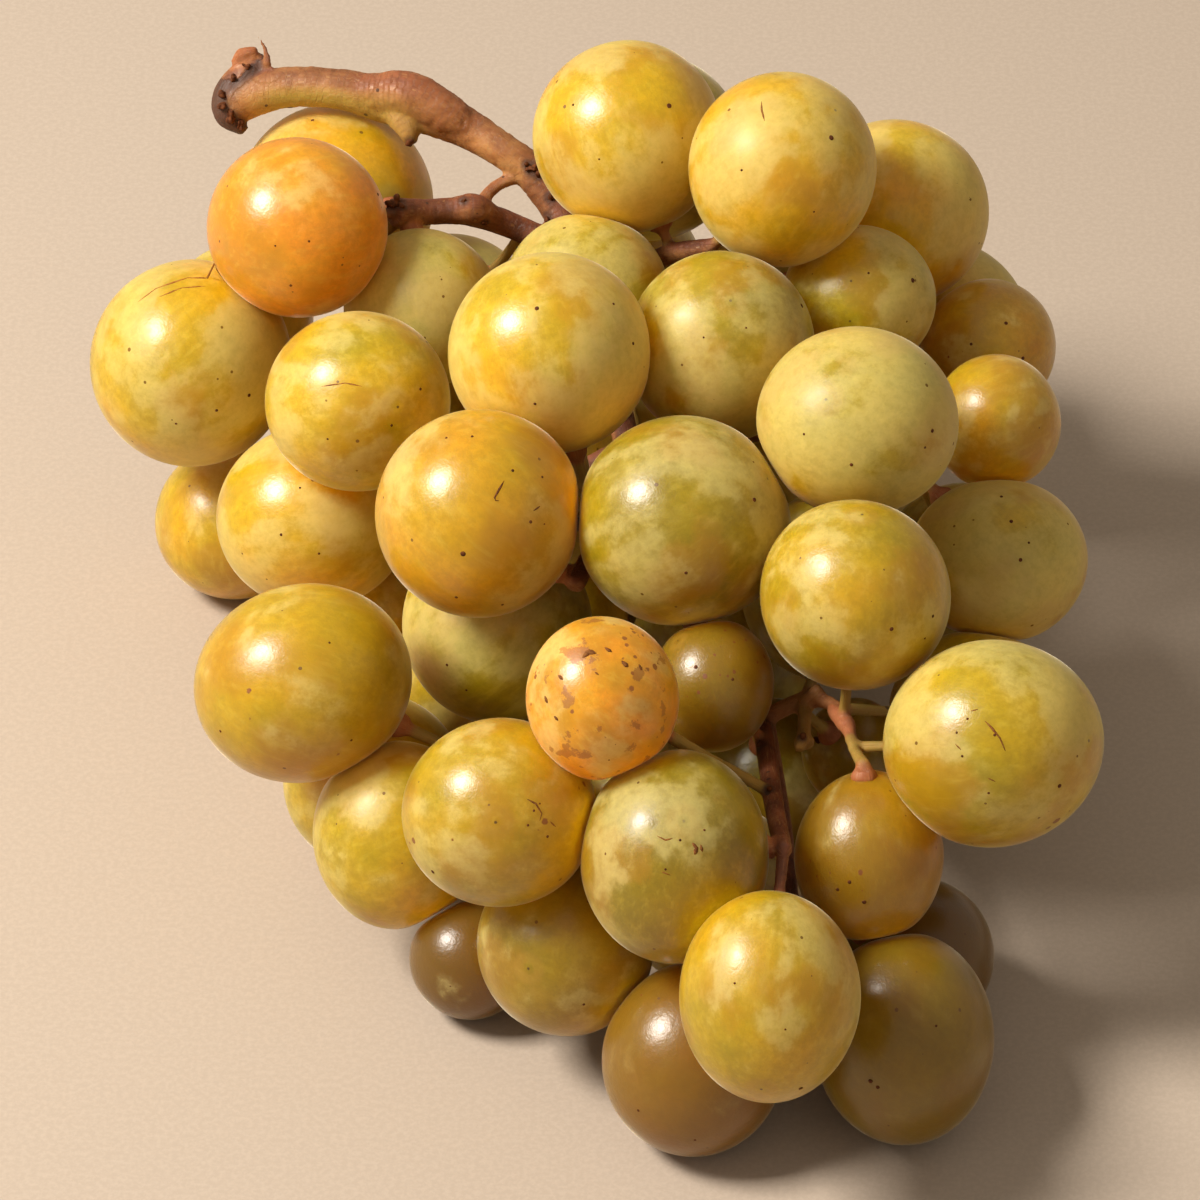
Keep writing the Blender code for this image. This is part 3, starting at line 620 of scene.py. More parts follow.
# Fine scars of the near berries: tone from 0 dark to 1 tan, half thickness in mm, and
# places across and up.
SCARS = [
    (5, 0.1, 0.14, [(0.27, 0.31), (0.22, 0.22), (0.17, 0.13), (0.18, 0.10), (0.22, 0.10)]),
    (5, 0.1, 0.13, [(0.53, 0.00), (0.60, 0.05)]),
    (2, 0.9, 0.14, [(-0.52, 0.54), (-0.30, 0.70), (0.00, 0.80), (0.30, 0.80), (0.50, 0.74)]),
    (2, 0.9, 0.11, [(-0.30, 0.60), (-0.05, 0.70), (0.20, 0.72)]),
    (19, 0.6, 0.12, [(-0.24, 0.66), (-0.24, 0.55), (-0.21, 0.42)]),
    (12, 0.4, 0.12, [(0.27, 0.18), (0.38, 0.12), (0.44, 0.02), (0.42, -0.06)]),
    (12, 0.4, 0.11, [(0.52, -0.06), (0.58, -0.12)]),
    (27, 0.4, 0.14, [(-0.16, 0.25), (-0.08, 0.17), (0.00, 0.07), (0.05, -0.05)]),
    (27, 0.5, 0.10, [(-0.28, 0.32), (-0.20, 0.34)]),
    (27, 0.5, 0.10, [(-0.42, 0.02), (-0.36, -0.04)]),
    (27, 0.5, 0.10, [(-0.12, -0.30), (-0.04, -0.34)]),
    (30, 0.3, 0.26, [(0.17, 0.18), (0.22, 0.12), (0.20, 0.05)]),
    (30, 0.3, 0.20, [(0.26, 0.16), (0.28, 0.08)]),
    (30, 0.5, 0.10, [(-0.20, 0.25), (-0.10, 0.20), (-0.02, 0.22)]),
    (30, 0.5, 0.10, [(-0.15, -0.12), (-0.05, -0.16)]),
    (3, 0.7, 0.09, [(-0.40, 0.12), (-0.10, 0.16), (0.10, 0.12)]),
    (13, 0.3, 0.34, [(-0.26, 0.52), (-0.16, 0.60), (-0.06, 0.58)]),
    (13, 0.2, 0.26, [(0.02, 0.66), (0.12, 0.60)]),
    (13, 0.3, 0.30, [(0.24, 0.50), (0.33, 0.42)]),
    (13, 0.2, 0.22, [(0.46, 0.46), (0.50, 0.38)]),
    (13, 0.3, 0.26, [(-0.74, 0.06), (-0.70, -0.04)]),
    (13, 0.4, 0.22, [(-0.62, -0.20), (-0.56, -0.26)]),
    (13, 0.3, 0.24, [(-0.56, 0.32), (-0.50, 0.26)]),
    (13, 0.4, 0.18, [(-0.10, 0.36), (-0.04, 0.32)]),
]
# How much russet a near berry has, from 0 to 1.
RUSSET = {13: 0.7, 29: 0.35, 32: 0.3, 27: 0.30, 12: 0.25, 28: 0.4, 22: 0.3, 9: 0.15}


def add_object(name, data):
    """An object of the scene for a mesh, a light or a camera."""
    made = bpy.data.objects.new(name, data)
    bpy.context.scene.collection.objects.link(made)
    return made


def add_piece(name, mesh):
    """An object of the scene for a mesh, with smooth faces."""
    for face in mesh.polygons:
        face.use_smooth = True
    return add_object(name, mesh)


def piece_of_cage(name, cage):
    """An object of the scene for a bmesh, which is freed."""
    mesh = bpy.data.meshes.new(name)
    cage.to_mesh(mesh)
    cage.free()
    return add_piece(name, mesh)


def add_layers(mesh, layers):
    """Numbers or vectors on a mesh's corners, by name, for its material."""
    for label, values in layers.items():
        values = np.asarray(values, dtype=np.float32)
        kind, key = ("FLOAT", "value") if values.ndim == 1 else ("FLOAT_VECTOR", "vector")
        mesh.attributes.new(label, kind, "POINT").data.foreach_set(key, values.ravel())


def sphere_template():
    """Corners and faces of a fine round ball of radius 1."""
    cage = bmesh.new()
    bmesh.ops.create_icosphere(cage, subdivisions=SPHERE_LEVEL, radius=1.0)
    corners = np.array([vert.co[:] for vert in cage.verts])
    corners /= np.linalg.norm(corners, axis=1)[:, None]
    faces = np.array([[vert.index for vert in face.verts] for face in cage.faces])
    cage.free()
    return corners, faces


def berry_pole(berries, own, pedicel):
    """Unit direction from the berry's centre to its pedicel."""
    if own in BLOSSOM_ENDS:
        across, up, forward = sight_axes()
        a, u = BLOSSOM_ENDS[own]
        depth = math.sqrt(1.0 - a * a - u * u)
        return -(a * across + u * up - depth * forward)
    if pedicel is None:
        return np.array(FREE_POLE)
    pole = pedicel[-2] - berries.centre[own]
    return pole / np.linalg.norm(pole)


def lumps(corners, phase):
    """Low, smooth unevenness of a ball's surface."""
    wave = np.zeros(len(corners))
    for turn, way in enumerate(LUMP_WAVES):
        wave += np.sin(corners @ way + phase + LUMP_PHASE * turn)
    return 1.0 + LUMP_HEIGHT * wave / LUMP_SUM


def berry_points(berries, own, pole, corners, gap, direction, phase):
    """Corners of one berry, pressed flat against its neighbours and the ground."""
    centre = berries.centre[own]
    values, vectors = np.linalg.eigh(berries.shape[own])
    stretch = vectors @ np.diag(np.sqrt(values)) @ vectors.T * SWELL
    turn = np.array(Vector(pole).to_track_quat("Z", "Y").to_matrix())
    points = (corners * lumps(corners, phase)[:, None]) @ turn.T @ stretch.T
    for other in np.flatnonzero(gap[own] < CONTACT_REACH):
        out = direction[own, other]
        reach = half_width(berries.shape[own], out) * SWELL
        other_reach = half_width(berries.shape[other], out) * SWELL
        distance = np.linalg.norm(berries.centre[other] - centre)
        limit = reach - (reach + other_reach - distance) / 2 - CONTACT_PARTING
        height = points @ out
        over = (height - limit) / CONTACT_SOFTNESS
        over = np.clip(over, -EXPONENT_LIMIT, EXPONENT_LIMIT)
        points -= (CONTACT_SOFTNESS * np.log1p(np.exp(over)))[:, None] * out
    points += centre
    points[:, 2] = np.maximum(points[:, 2], 0.0)
    return points


def uneven(places, octaves):
    """Smooth noise at places, spread round 0.5 like a noise texture's."""
    values = np.array([noise.fractal(Vector(place), 1.0, 2.0, octaves) for place in places])
    return 0.5 + FIELD_SPREAD * (values - values.mean()) / values.std()


def skin_fields(corners, draws, own):
    """Broad patterns of a cluster's skins: ripeness, tan, bloom, dullness that is partly painted
    shade, and russet.
    """
    place = corners + draws
    ripeness, bloom_and_light, dull_and_shade, russet = own.T
    drawn_out = corners * STREAK_STRETCH + draws
    # The bloom is partly painted light on a few berries that their neighbours shade.
    film = 0.70 * uneven(place * 1.1, 4) + 0.30 * uneven(drawn_out * 1.9, 3) + BLOOM_GAIN * bloom_and_light
    # Dull skin, which on the low berries is partly painted shade, keeps less of the pale film.
    film -= DULL_AND_SHADE_LOSS * dull_and_shade
    freckle = uneven(place * 1.5 + RUSSET_START, 3) + 0.20 * russet
    blotch = uneven(place * 4.4 + RUSSET_START, 3) + 0.02 * russet
    return {
        "ripe": ripeness + 0.5 * (uneven(place * 1.25, 3) - 0.5),
        "tan": uneven(place * 1.15 + TAN_START, 4),
        "film": film,
        "dull_and_shade": dull_and_shade,
        "freckle": np.where(russet > 0.0, freckle, 0.0),
        "blotch": np.where(russet > BLOTCHY_RUSSET, blotch, 0.0),
    }


def berry_mesh(name, members, berries, pedicels, template, gap, direction, looks):
    """One piece for a cluster: a separate ball for each berry, with its own values."""
    corners, faces = template
    points, seeds, index, values = [], [], [], []
    for count, own in enumerate(members):
        rng = np.random.default_rng(BERRY_SEED + own)
        pole = berry_pole(berries, own, pedicels[own])
        phase = rng.uniform(0, 6.0)
        points.append(berry_points(berries, own, pole, corners, gap, direction, phase))
        seeds.append(np.tile(rng.uniform(0, 50, 3), (len(corners), 1)))
        values.append(np.tile((*looks[own], RUSSET.get(int(own), 0.0)), (len(corners), 1)))
        index.append(faces + count * len(corners))
    locals_, seeds = np.tile(corners, (len(members), 1)), np.vstack(seeds)
    mesh = bpy.data.meshes.new(name)
    mesh.from_pydata(np.vstack(points).tolist(), [], np.vstack(index).tolist())
    fields = skin_fields(locals_, seeds, np.vstack(values))
    add_layers(mesh, {"local": locals_, "draw": seeds} | fields)
    return add_piece(name, mesh)


def skin_points(tree, berries, own, places, step):
    """Points on a near berry's skin, and the way out, along places given as seen."""
    spots = [np.array(place) for place in places]
    row = [spots[0]]
    for start, end in zip(spots, spots[1:]):
        count = max(1, math.ceil(np.linalg.norm(end - start) / step))
        row += [start + (end - start) * (turn + 1) / count for turn in range(count)]
    found = []
    for place in row:
        edge, out = surface_point(berries, own, place)
        ray = 1.2 * (edge - berries.centre[own])
        outside = Vector(berries.centre[own] + ray)
        place = tree.ray_cast(outside, Vector(-out), 0.5 * np.linalg.norm(ray))[0]
        if place is not None:
            found.append((np.array(place), out))
    return found


def mark_mesh(pieces, berries):
    """Pin points as low domes and scars as thin ridges on the skins, as one piece."""
    cage = bmesh.new()
    for piece in pieces:
        cage.from_mesh(piece.data)
    tree = BVHTree.FromBMesh(cage)
    cage.clear()
    for own, spots in SPOTS.items():
        for a, u, radius in spots:
            for place, out in skin_points(tree, berries, own, [(a, u)], 1.0):
                turn = Vector(out).to_track_quat("Z", "Y").to_matrix().to_4x4()
                wide = SPOT_SCALE * radius
                size = Matrix.Diagonal((wide, wide, SPOT_HEIGHT, 1.0))
                matrix = Matrix.Translation(Vector(place)) @ turn @ size
                bmesh.ops.create_icosphere(cage, subdivisions=2, radius=1.0, matrix=matrix)
    tone = [0.0] * len(cage.verts)
    for own, shade, half, places in SCARS:
        found = skin_points(tree, berries, own, places, SCAR_STEP)
        rows = []
        for index, (place, out) in enumerate(found):
            end = min(index, len(found) - 1 - index) / max(len(found) - 1, 1)
            full = SCAR_END + (1.0 - SCAR_END) * min(1.0, SCAR_TAPER * end)
            wide = half * MM * full * (0.8 + 0.4 * math.sin(SCAR_WAVE * index) ** 2)
            rows.append((*(place - out * SCAR_SINK * half * MM), wide))
        if len(rows) > 1:
            tube(cage, np.array(rows), SCAR_SIDES)
            tone += [shade] * (len(cage.verts) - len(tone))
    bmesh.ops.recalc_face_normals(cage, faces=cage.faces)
    piece = piece_of_cage("skin_marks", cage)
    add_layers(piece.data, {"tone": tone})
    return piece


class Graph:
    """Short calls for building a node material."""

    def __init__(self, name):
        self.material = bpy.data.materials.new(name)
        self.material.use_nodes = True
        self.tree = self.material.node_tree
        self.shader = self.tree.nodes["Principled BSDF"]
        self.output = self.tree.nodes["Material Output"]

    def set(self, socket, value):
        """A value, or another node's output, on a socket."""
        if isinstance(value, bpy.types.NodeSocket):
            self.tree.links.new(value, socket)
        elif socket.type == "RGBA":
            socket.default_value = (*value, 1.0)
        else:
            socket.default_value = value

    def surface(self, values):
        """Values, or other nodes' outputs, on the shader's sockets by name."""
        for name, value in values.items():
            self.set(self.shader.inputs[name], value)

    def node(self, kind, **settings):
        node = self.tree.nodes.new(kind)
        for key, value in settings.items():
            setattr(node, key, value)
        return node

    def attribute(self, name, output="Fac"):
        return self.node("ShaderNodeAttribute", attribute_name=name).outputs[output]

    def math(self, operation, one, other=0.0, third=None, clamp=False):
        node = self.node("ShaderNodeMath", operation=operation, use_clamp=clamp)
        self.set(node.inputs[0], one)
        self.set(node.inputs[1], other)
        if third is not None:
            self.set(node.inputs[2], third)
        return node.outputs[0]

    def vector(self, operation, one, other, third=None):
        node = self.node("ShaderNodeVectorMath", operation=operation)
        self.set(node.inputs[0], one)
        self.set(node.inputs[1], other)
        if third is not None:
            self.set(node.inputs[2], third)
        return node.outputs[0]

    def noise(self, place, scale, detail, roughness, distortion=0.0):
        node = self.node("ShaderNodeTexNoise")
        for key, item in (("Vector", place), ("Scale", scale), ("Detail", detail),
                          ("Roughness", roughness), ("Distortion", distortion)):
            self.set(node.inputs[key], item)
        return node.outputs["Fac"]

    def cells(self, place, scale):
        """Distance from the nearest of many scattered points, and its three draws."""
        node = self.node("ShaderNodeTexVoronoi")
        self.set(node.inputs["Vector"], place)
        self.set(node.inputs["Scale"], scale)
        draws = self.node("ShaderNodeSeparateColor")
        self.set(draws.inputs[0], node.outputs["Color"])
        return node.outputs["Distance"], draws.outputs

    def band(self, value, low, high, out_low=0.0, out_high=1.0):
        """Smooth step of a value from low to high."""
        node = self.node("ShaderNodeMapRange", interpolation_type="SMOOTHSTEP")
        for key, item in (("Value", value), ("From Min", low), ("From Max", high),
                          ("To Min", out_low), ("To Max", out_high)):
            self.set(node.inputs[key], item)
        return node.outputs[0]

    def mix(self, factor, one, other, blend="MIX"):
        node = self.node("ShaderNodeMix", data_type="RGBA", blend_type=blend)
        self.set(node.inputs["Factor"], factor)
        self.set(node.inputs[6], one)
        self.set(node.inputs[7], other)
        return node.outputs[2]

    def ramp(self, value, stops):
        node = self.node("ShaderNodeValToRGB")
        elements = node.color_ramp.elements
        while len(elements) < len(stops):
            elements.new(0.5)
        for element, (position, colour) in zip(elements, stops):
            element.position = position
            element.color = (*colour, 1.0)
        self.set(node.inputs[0], value)
        return node.outputs[0]

    def bump(self, height, strength, distance):
        node = self.node("ShaderNodeBump")
        for key, item in (("Height", height), ("Strength", strength), ("Distance", distance)):
            self.set(node.inputs[key], item)
        return node.outputs[0]


# Colours of the skin: flesh from green to amber, and what lies over it.
RIPENING = (
    (0.0, (0.240, 0.178, 0.006)),
    (0.28, (0.400, 0.285, 0.006)),
    (0.52, (0.590, 0.365, 0.007)),
    (0.76, (0.710, 0.355, 0.009)),
    (1.0, (0.790, 0.285, 0.014)),
)
TANNED = (0.460, 0.215, 0.010)
PALE_VEIN = (0.86, 0.66, 0.10)
DARK_VEIN = (0.30, 0.17, 0.01)
# Brown of dull skin, partly the skin's own brown and partly painted shade on the low berries.
BROWN_AND_SHADE = (0.140, 0.066, 0.005)
SPECK_BROWN = (0.110, 0.036, 0.008)
RUSSET_BROWN = (0.210, 0.050, 0.014)
BLOSSOM_RING = (0.42, 0.22, 0.03)
BLOSSOM_POINT = (0.070, 0.025, 0.010)
COLLAR_SKIN = (0.45, 0.36, 0.07)
WAX = (0.72, 0.61, 0.24)


def skin_material():
    """Translucent skin, green to amber, with wiped bloom, veins, specks, russet and a dull brown
    that is partly painted shade.
    """
    g = Graph("grape_skin")
    local = g.attribute("local", "Vector")
    draw = g.attribute("draw", "Vector")
    place = g.vector("ADD", local, draw)
    grain = g.noise(place, 9.0, 3.0, 0.75)
    rough_edge = g.math("SUBTRACT", grain, 0.5)

    # Flesh and skin colour, uneven over each berry, with tanned and brownish areas.
    colour = g.ramp(g.attribute("ripe"), RIPENING)
    colour = g.mix(1.0, colour, g.band(grain, 0.30, 0.70, 0.88, 1.08), "MULTIPLY")
    tan = g.math("MULTIPLY_ADD", rough_edge, 0.20, g.attribute("tan"))
    colour = g.mix(g.band(tan, 0.51, 0.70, 0.0, 0.55), colour, TANNED)

    # Faint meridian veins from the pedicel to the blossom end.
    drawn_out = g.vector("MULTIPLY_ADD", local, (9.0, 9.0, 1.8), third=draw)
    veins = g.noise(drawn_out, 1.3, 2.0, 0.6)
    colour = g.mix(g.band(veins, 0.50, 0.74, 0.0, 0.15), colour, PALE_VEIN)
    colour = g.mix(g.band(veins, 0.44, 0.28, 0.0, 0.10), colour, DARK_VEIN)
    # Dull brown: partly the skin's own brown, partly painted shade on the low berries near the
    # ground.
    dull_and_shade = g.math("MULTIPLY", g.attribute("dull_and_shade"), 0.9, clamp=True)
    colour = g.mix(dull_and_shade, colour, BROWN_AND_SHADE)

    # Bloom: a pale waxy film, wiped away in patches and streaks.
    film = g.math("MULTIPLY_ADD", rough_edge, 0.14, g.attribute("film"))
    soft = g.band(film, 0.50, 0.77)
    crisp = g.band(film, 0.59, 0.65)
    film = g.math("MULTIPLY_ADD", soft, 0.76, g.math("MULTIPLY", crisp, 0.24))
    film = g.math("MULTIPLY", film, g.band(grain, 0.25, 0.65, 0.72, 1.0))

    # Specks: sparse dark points, and russet freckles and blotches on some berries.
    dot, draws = g.cells(place, 7.0)
    speck = g.math("LESS_THAN", dot, g.math("MULTIPLY_ADD", draws[1], 0.12, 0.03))
    speck = g.math("MULTIPLY", speck, g.math("GREATER_THAN", draws[0], 0.86))
    room = g.band(g.attribute("freckle"), 0.56, 0.80)
    ragged = g.math("MULTIPLY_ADD", grain, 0.40, dot)
    wide = g.math("MULTIPLY_ADD", draws[2], 0.36, 0.16)
    freckle = g.band(g.math("SUBTRACT", g.math("MULTIPLY", room, wide), ragged), -0.06, 0.02)
    blotch = g.math("MULTIPLY_ADD", rough_edge, 0.70, g.attribute("blotch"))
    freckle = g.math("MAXIMUM", freckle, g.band(blotch, 0.66, 0.74, 0.0, 0.7))
    colour = g.mix(g.math("MULTIPLY", speck, 0.75), colour, SPECK_BROWN)
    colour = g.mix(g.math("MULTIPLY", freckle, 0.80), colour, RUSSET_BROWN)

    # Blossom end: a small dark point in a soft ring. Collar: duller skin at the pedicel.
    split = g.node("ShaderNodeSeparateXYZ")
    g.set(split.inputs[0], local)
    along = split.outputs["Z"]
    point = g.band(along, -0.99930, -0.99970)
    halo = g.math("MULTIPLY", g.band(along, -0.975, -0.990), g.band(along, -0.9990, -0.996))
    colour = g.mix(g.math("MULTIPLY", halo, 0.30), colour, BLOSSOM_RING)
    colour = g.mix(g.math("MULTIPLY", point, 0.9), colour, BLOSSOM_POINT)
    colour = g.mix(g.band(along, 0.955, 0.985, 0.0, 0.55), colour, COLLAR_SKIN)

    flaw = g.math("MAXIMUM", speck, freckle)
    rough = g.math("MULTIPLY_ADD", film, 0.18, 0.32)
    g.shader.subsurface_method = "BURLEY"
    g.surface({
        "Base Color": colour,
        "Roughness": g.math("MULTIPLY_ADD", flaw, 0.2, rough),
        "Subsurface Weight": 1.0,
        "Subsurface Radius": (1.0, 0.62, 0.12),
        "Subsurface Scale": 10 * MM,
        "IOR": 1.45,
        "Specular IOR Level": 0.65,
        "Coat Weight": 0.13,
        "Coat Roughness": 0.25,
        "Sheen Weight": 0.5,
        "Sheen Roughness": 0.22,
        "Sheen Tint": (1.0, 0.93, 0.72),
        "Normal": g.bump(grain, 0.30, 0.2 * MM),
    })

    # The film lies over the flesh as a thin pale layer that light doesn't get behind.
    layer = g.node("ShaderNodeBsdfDiffuse")
    g.set(layer.inputs["Color"], g.mix(flaw, WAX, colour))
    joined = g.node("ShaderNodeMixShader")
    g.set(joined.inputs[0], g.math("MULTIPLY", film, 0.42))
    g.set(joined.inputs[1], g.shader.outputs[0])
    g.set(joined.inputs[2], layer.outputs[0])
    g.set(g.output.inputs["Surface"], joined.outputs[0])
    return g.material


def scar_material():
    """Dark corky brown of pin points and scars."""
    g = Graph("scar_brown")
    coord = g.node("ShaderNodeTexCoord").outputs["Object"]
    grain = g.noise(coord, 2500.0, 2.0, 0.6)
    cork = g.band(grain, 0.35, 0.65)
    dark = g.mix(cork, (0.070, 0.020, 0.006), (0.150, 0.045, 0.012))
    pale = g.mix(cork, (0.300, 0.100, 0.020), (0.450, 0.200, 0.040))
    g.surface({
        "Base Color": g.mix(g.attribute("tone"), dark, pale),
        "Roughness": 0.8,
        "Specular IOR Level": 0.2,
    })
    return g.material


def wood_material():
    """Woody stem: tan and rust fibres, greener stretches, orange collars, dark knots."""
    g = Graph("stem_wood")
    grain = g.attribute("grain", "Vector")
    coord = g.node("ShaderNodeTexCoord").outputs["Object"]
    fibres = g.noise(grain, 3.2, 5.0, 0.65, 0.3)
    patches = g.noise(coord, 260.0, 4.0, 0.6, 0.4)
    tan = g.ramp(patches, (
        (0.30, (0.350, 0.125, 0.032)),
        (0.46, (0.490, 0.210, 0.062)),
        (0.60, (0.570, 0.285, 0.090)),
        (0.74, (0.440, 0.235, 0.052)),
    ))
    rust = g.ramp(patches, (
        (0.30, (0.085, 0.022, 0.009)),
        (0.50, (0.195, 0.055, 0.020)),
        (0.70, (0.310, 0.100, 0.036)),
    ))
    colour = g.mix(g.attribute("rust"), tan, rust)
    green = g.mix(fibres, (0.340, 0.240, 0.024), (0.540, 0.410, 0.062))
    colour = g.mix(g.attribute("green"), colour, green)
    orange = g.mix(patches, (0.270, 0.060, 0.018), (0.540, 0.190, 0.060))
    colour = g.mix(g.attribute("collar"), colour, orange)
    colour = g.mix(g.band(fibres, 0.54, 0.72, 0.0, 0.40), colour, (0.150, 0.045, 0.016))
    colour = g.mix(g.band(fibres, 0.46, 0.30, 0.0, 0.30), colour, (0.690, 0.390, 0.150))
    dark = g.mix(fibres, (0.030, 0.012, 0.008), (0.120, 0.045, 0.022))
    colour = g.mix(g.attribute("dark"), colour, dark)
    dot, draws = g.cells(coord, 620.0)
    speck = g.math("LESS_THAN", dot, g.math("MULTIPLY", draws[1], 0.24))
    speck = g.math("MULTIPLY", speck, g.math("GREATER_THAN", draws[0], 0.84))
    colour = g.mix(g.math("MULTIPLY", speck, 0.8), colour, (0.045, 0.018, 0.010))
    height = g.math("MULTIPLY_ADD", fibres, 0.9, g.math("MULTIPLY", patches, 0.2))
    g.surface({
        "Base Color": colour,
        "Roughness": g.band(fibres, 0.3, 0.7, 0.42, 0.75),
        "Subsurface Weight": 0.2,
        "Subsurface Radius": (1.0, 0.4, 0.2),
        "Subsurface Scale": 1 * MM,
        "Normal": g.bump(height, 0.5, 0.3 * MM),
    })
    return g.material


def floor_material():
    """Pale warm paper-like ground."""
    g = Graph("floor_pale")
    coord = g.node("ShaderNodeTexCoord").outputs["Object"]
    fine = g.noise(coord, 1400.0, 2.0, 0.7)
    colour = g.mix(g.band(fine, 0.35, 0.7), (0.49, 0.40, 0.32), (0.53, 0.435, 0.35))
    g.surface({"Base Color": colour, "Roughness": 0.9, "Specular IOR Level": 0.2})
    return g.material


# Fine stem: voxel of the remesh, rounds of smoothing, step along a run and sides of the
# tubes; then height of the ridges, of the bark and of a receptacle's warts, and their
# noises' scales: round and along the stem, of the ridges, and of the bark per metre.
STEM_VOXEL = 0.36 * MM
STEM_SMOOTHING = 2
FINE_STEP = 0.8 * MM
RUN_SIDES = 16
PEDICEL_TUBE_SIDES = 12
RIDGE_HEIGHT = 0.10 * MM
BARK_HEIGHT = 0.03 * MM
KNOBBLY_HEIGHT = 0.12 * MM
GRAIN_ROUND = 1.6
GRAIN_ALONG = 60.0
RIDGE_SCALE = 1.4
BARK_SCALE = 700.0

# Half thickness of a pedicel at its root, at a bend and halfway; then how long its neck
# is at most, also in parts of the last stretch, and the rows of its receptacle: place
# along the neck in parts of it, or into the berry, and half thickness.
PEDICEL_ROOT = 0.8 * MM
PEDICEL_BEND = 0.68 * MM
PEDICEL_HALFWAY = 0.7 * MM
NECK_LENGTH = 1.5 * MM
NECK_SHARE = 0.55
NECK_ROWS = ((1.0, 0.85 * MM), (0.45, 1.45 * MM))
SUNK_ROWS = ((0.1 * MM, 1.75 * MM), (0.9 * MM, 1.2 * MM))

# Small parts of the stem as seen, in the near side's frame and mm: the cut end with its
# torn bark and curl, the swelling and the spur at the bend, and the twig's short ends.
TORN_RUNS = {
    "cane": [
        (-43.2, 57.0, -46, 0.7), (-45.3, 59.2, -46, 1.9), (-44.6, 61.8, -46, 2.4),
        (-42.4, 64.3, -46, 2.1), (-40.6, 65.9, -46, 0.9)],
    "flap": [
        (-44.7, 65.2, -45, 0.4), (-43.6, 66.3, -45, 0.9), (-41.7, 66.9, -45, 0.6)],
    "curl": [
        (-40.4, 65.0, -44, 0.6), (-40.7, 66.9, -44, 0.34), (-41.6, 68.6, -44, 0.18)],
    "swelling": [
        (-31.0, 62.0, -44, 1.9), (-27.2, 61.7, -43, 2.6), (-23.2, 61.4, -42, 3.1),
        (-18.8, 59.1, -42, 2.8), (-14.8, 56.8, -43, 1.8)],
    "spur": [
        (-25.0, 60.0, -43, 2.2), (-23.4, 57.4, -42, 1.6), (-22.9, 55.4, -42, 0.7)],
    "arm_knuckle": [
        (-13.2, 46.6, -40, 1.6), (-15.4, 47.6, -38, 2.0), (-18.0, 47.4, -38, 1.6)],
    "twig_side": [
        (24.6, -12.8, 11, 0.8), (26.8, -10.6, 12, 0.8)],
    "twig_stub": [
        (24.8, -13.0, 11, 0.85), (24.9, -16.0, 14, 0.62), (24.5, -17.2, 15, 0.95),
        (24.2, -18.2, 16, 0.6)],
    "twig_knuckle": [
        (28.2, -13.2, 14, 0.8), (29.8, -14.9, 17, 1.15), (30.5, -16.2, 19, 0.7)],
}
# Dark crumbs on the stem: across, up and size, as seen.
CRUMBS = [
    (-8.2, 52.5, 0.75), (-7.5, 51.9, 0.6), (-8.9, 53.0, 0.45), (-6.0, 49.0, 0.55),
    (-6.4, 46.4, 0.6), (-24.6, 48.6, 0.7), (-25.3, 48.0, 0.8), (-24.1, 48.0, 0.45),
    (-16.6, 48.6, 0.45), (-14.0, 45.9, 0.4), (-44.9, 58.8, 0.8), (-46.0, 60.2, 0.7),
    (-43.8, 57.7, 0.7), (-45.9, 61.6, 0.6), (-44.6, 63.4, 0.6), (-43.0, 64.9, 0.55),
    (-23.1, 55.6, 0.5), (24.3, -18.6, 0.55), (24.6, -16.7, 0.4), (20.6, -23.0, 0.5),
    (19.6, -17.6, 0.55),
]
# Berry whose pedicel is seen to rise from the twig: the way it takes, and where on the
# berry it ends, across and up in parts of the radius.
TWIG_BERRY = 29
TWIG_PEDICEL = [(30.2, -15.8, 18, 0.6), (31.0, -18.4, 22, 0.6)]
TWIG_PEDICEL_END = (-0.07, 0.96)


def smooth_run(rows):
    """Points and half thicknesses along a smooth curve through a run's rows."""
    rows = np.asarray(rows)
    padded = np.vstack([2 * rows[0] - rows[1], rows, 2 * rows[-1] - rows[-2]])
    out = []
    for before, start, end, after in zip(padded, padded[1:], padded[2:], padded[3:]):
        count = max(2, math.ceil(np.linalg.norm((end - start)[:3]) / FINE_STEP))
        for step in range(count):
            t = step / count
            out.append(0.5 * (
                2 * start + (end - before) * t
                + (2 * before - 5 * start + 4 * end - after) * t**2
                + (3 * start - before - 3 * end + after) * t**3))
    out.append(rows[-1])
    return np.array(out)


def tube(cage, rows, sides):
    """Adds a closed round tube along rows of x, y, z and half thickness to a bmesh."""
    points, radii = rows[:, :3], rows[:, 3]
    side = None
    rings = []
    for index, (point, radius) in enumerate(zip(points, radii)):
        ahead = points[min(index + 1, len(points) - 1)] - points[max(index - 1, 0)]
        ahead /= np.linalg.norm(ahead)
        if side is None:
            side = np.cross(ahead, (0.3, 0.2, 0.93))
        side = side - (side @ ahead) * ahead
        side /= np.linalg.norm(side)
        other = np.cross(ahead, side)
        ring = []
        for turn in range(sides):
            angle = 2 * math.pi * turn / sides
            offset = radius * (math.cos(angle) * side + math.sin(angle) * other)
            ring.append(cage.verts.new(point + offset))
        rings.append(ring)
    for ring, following in zip(rings, rings[1:]):
        for turn in range(sides):
            after = (turn + 1) % sides
            cage.faces.new((ring[turn], ring[after], following[after], following[turn]))
    cage.faces.new(list(reversed(rings[0])))
    cage.faces.new(rings[-1])


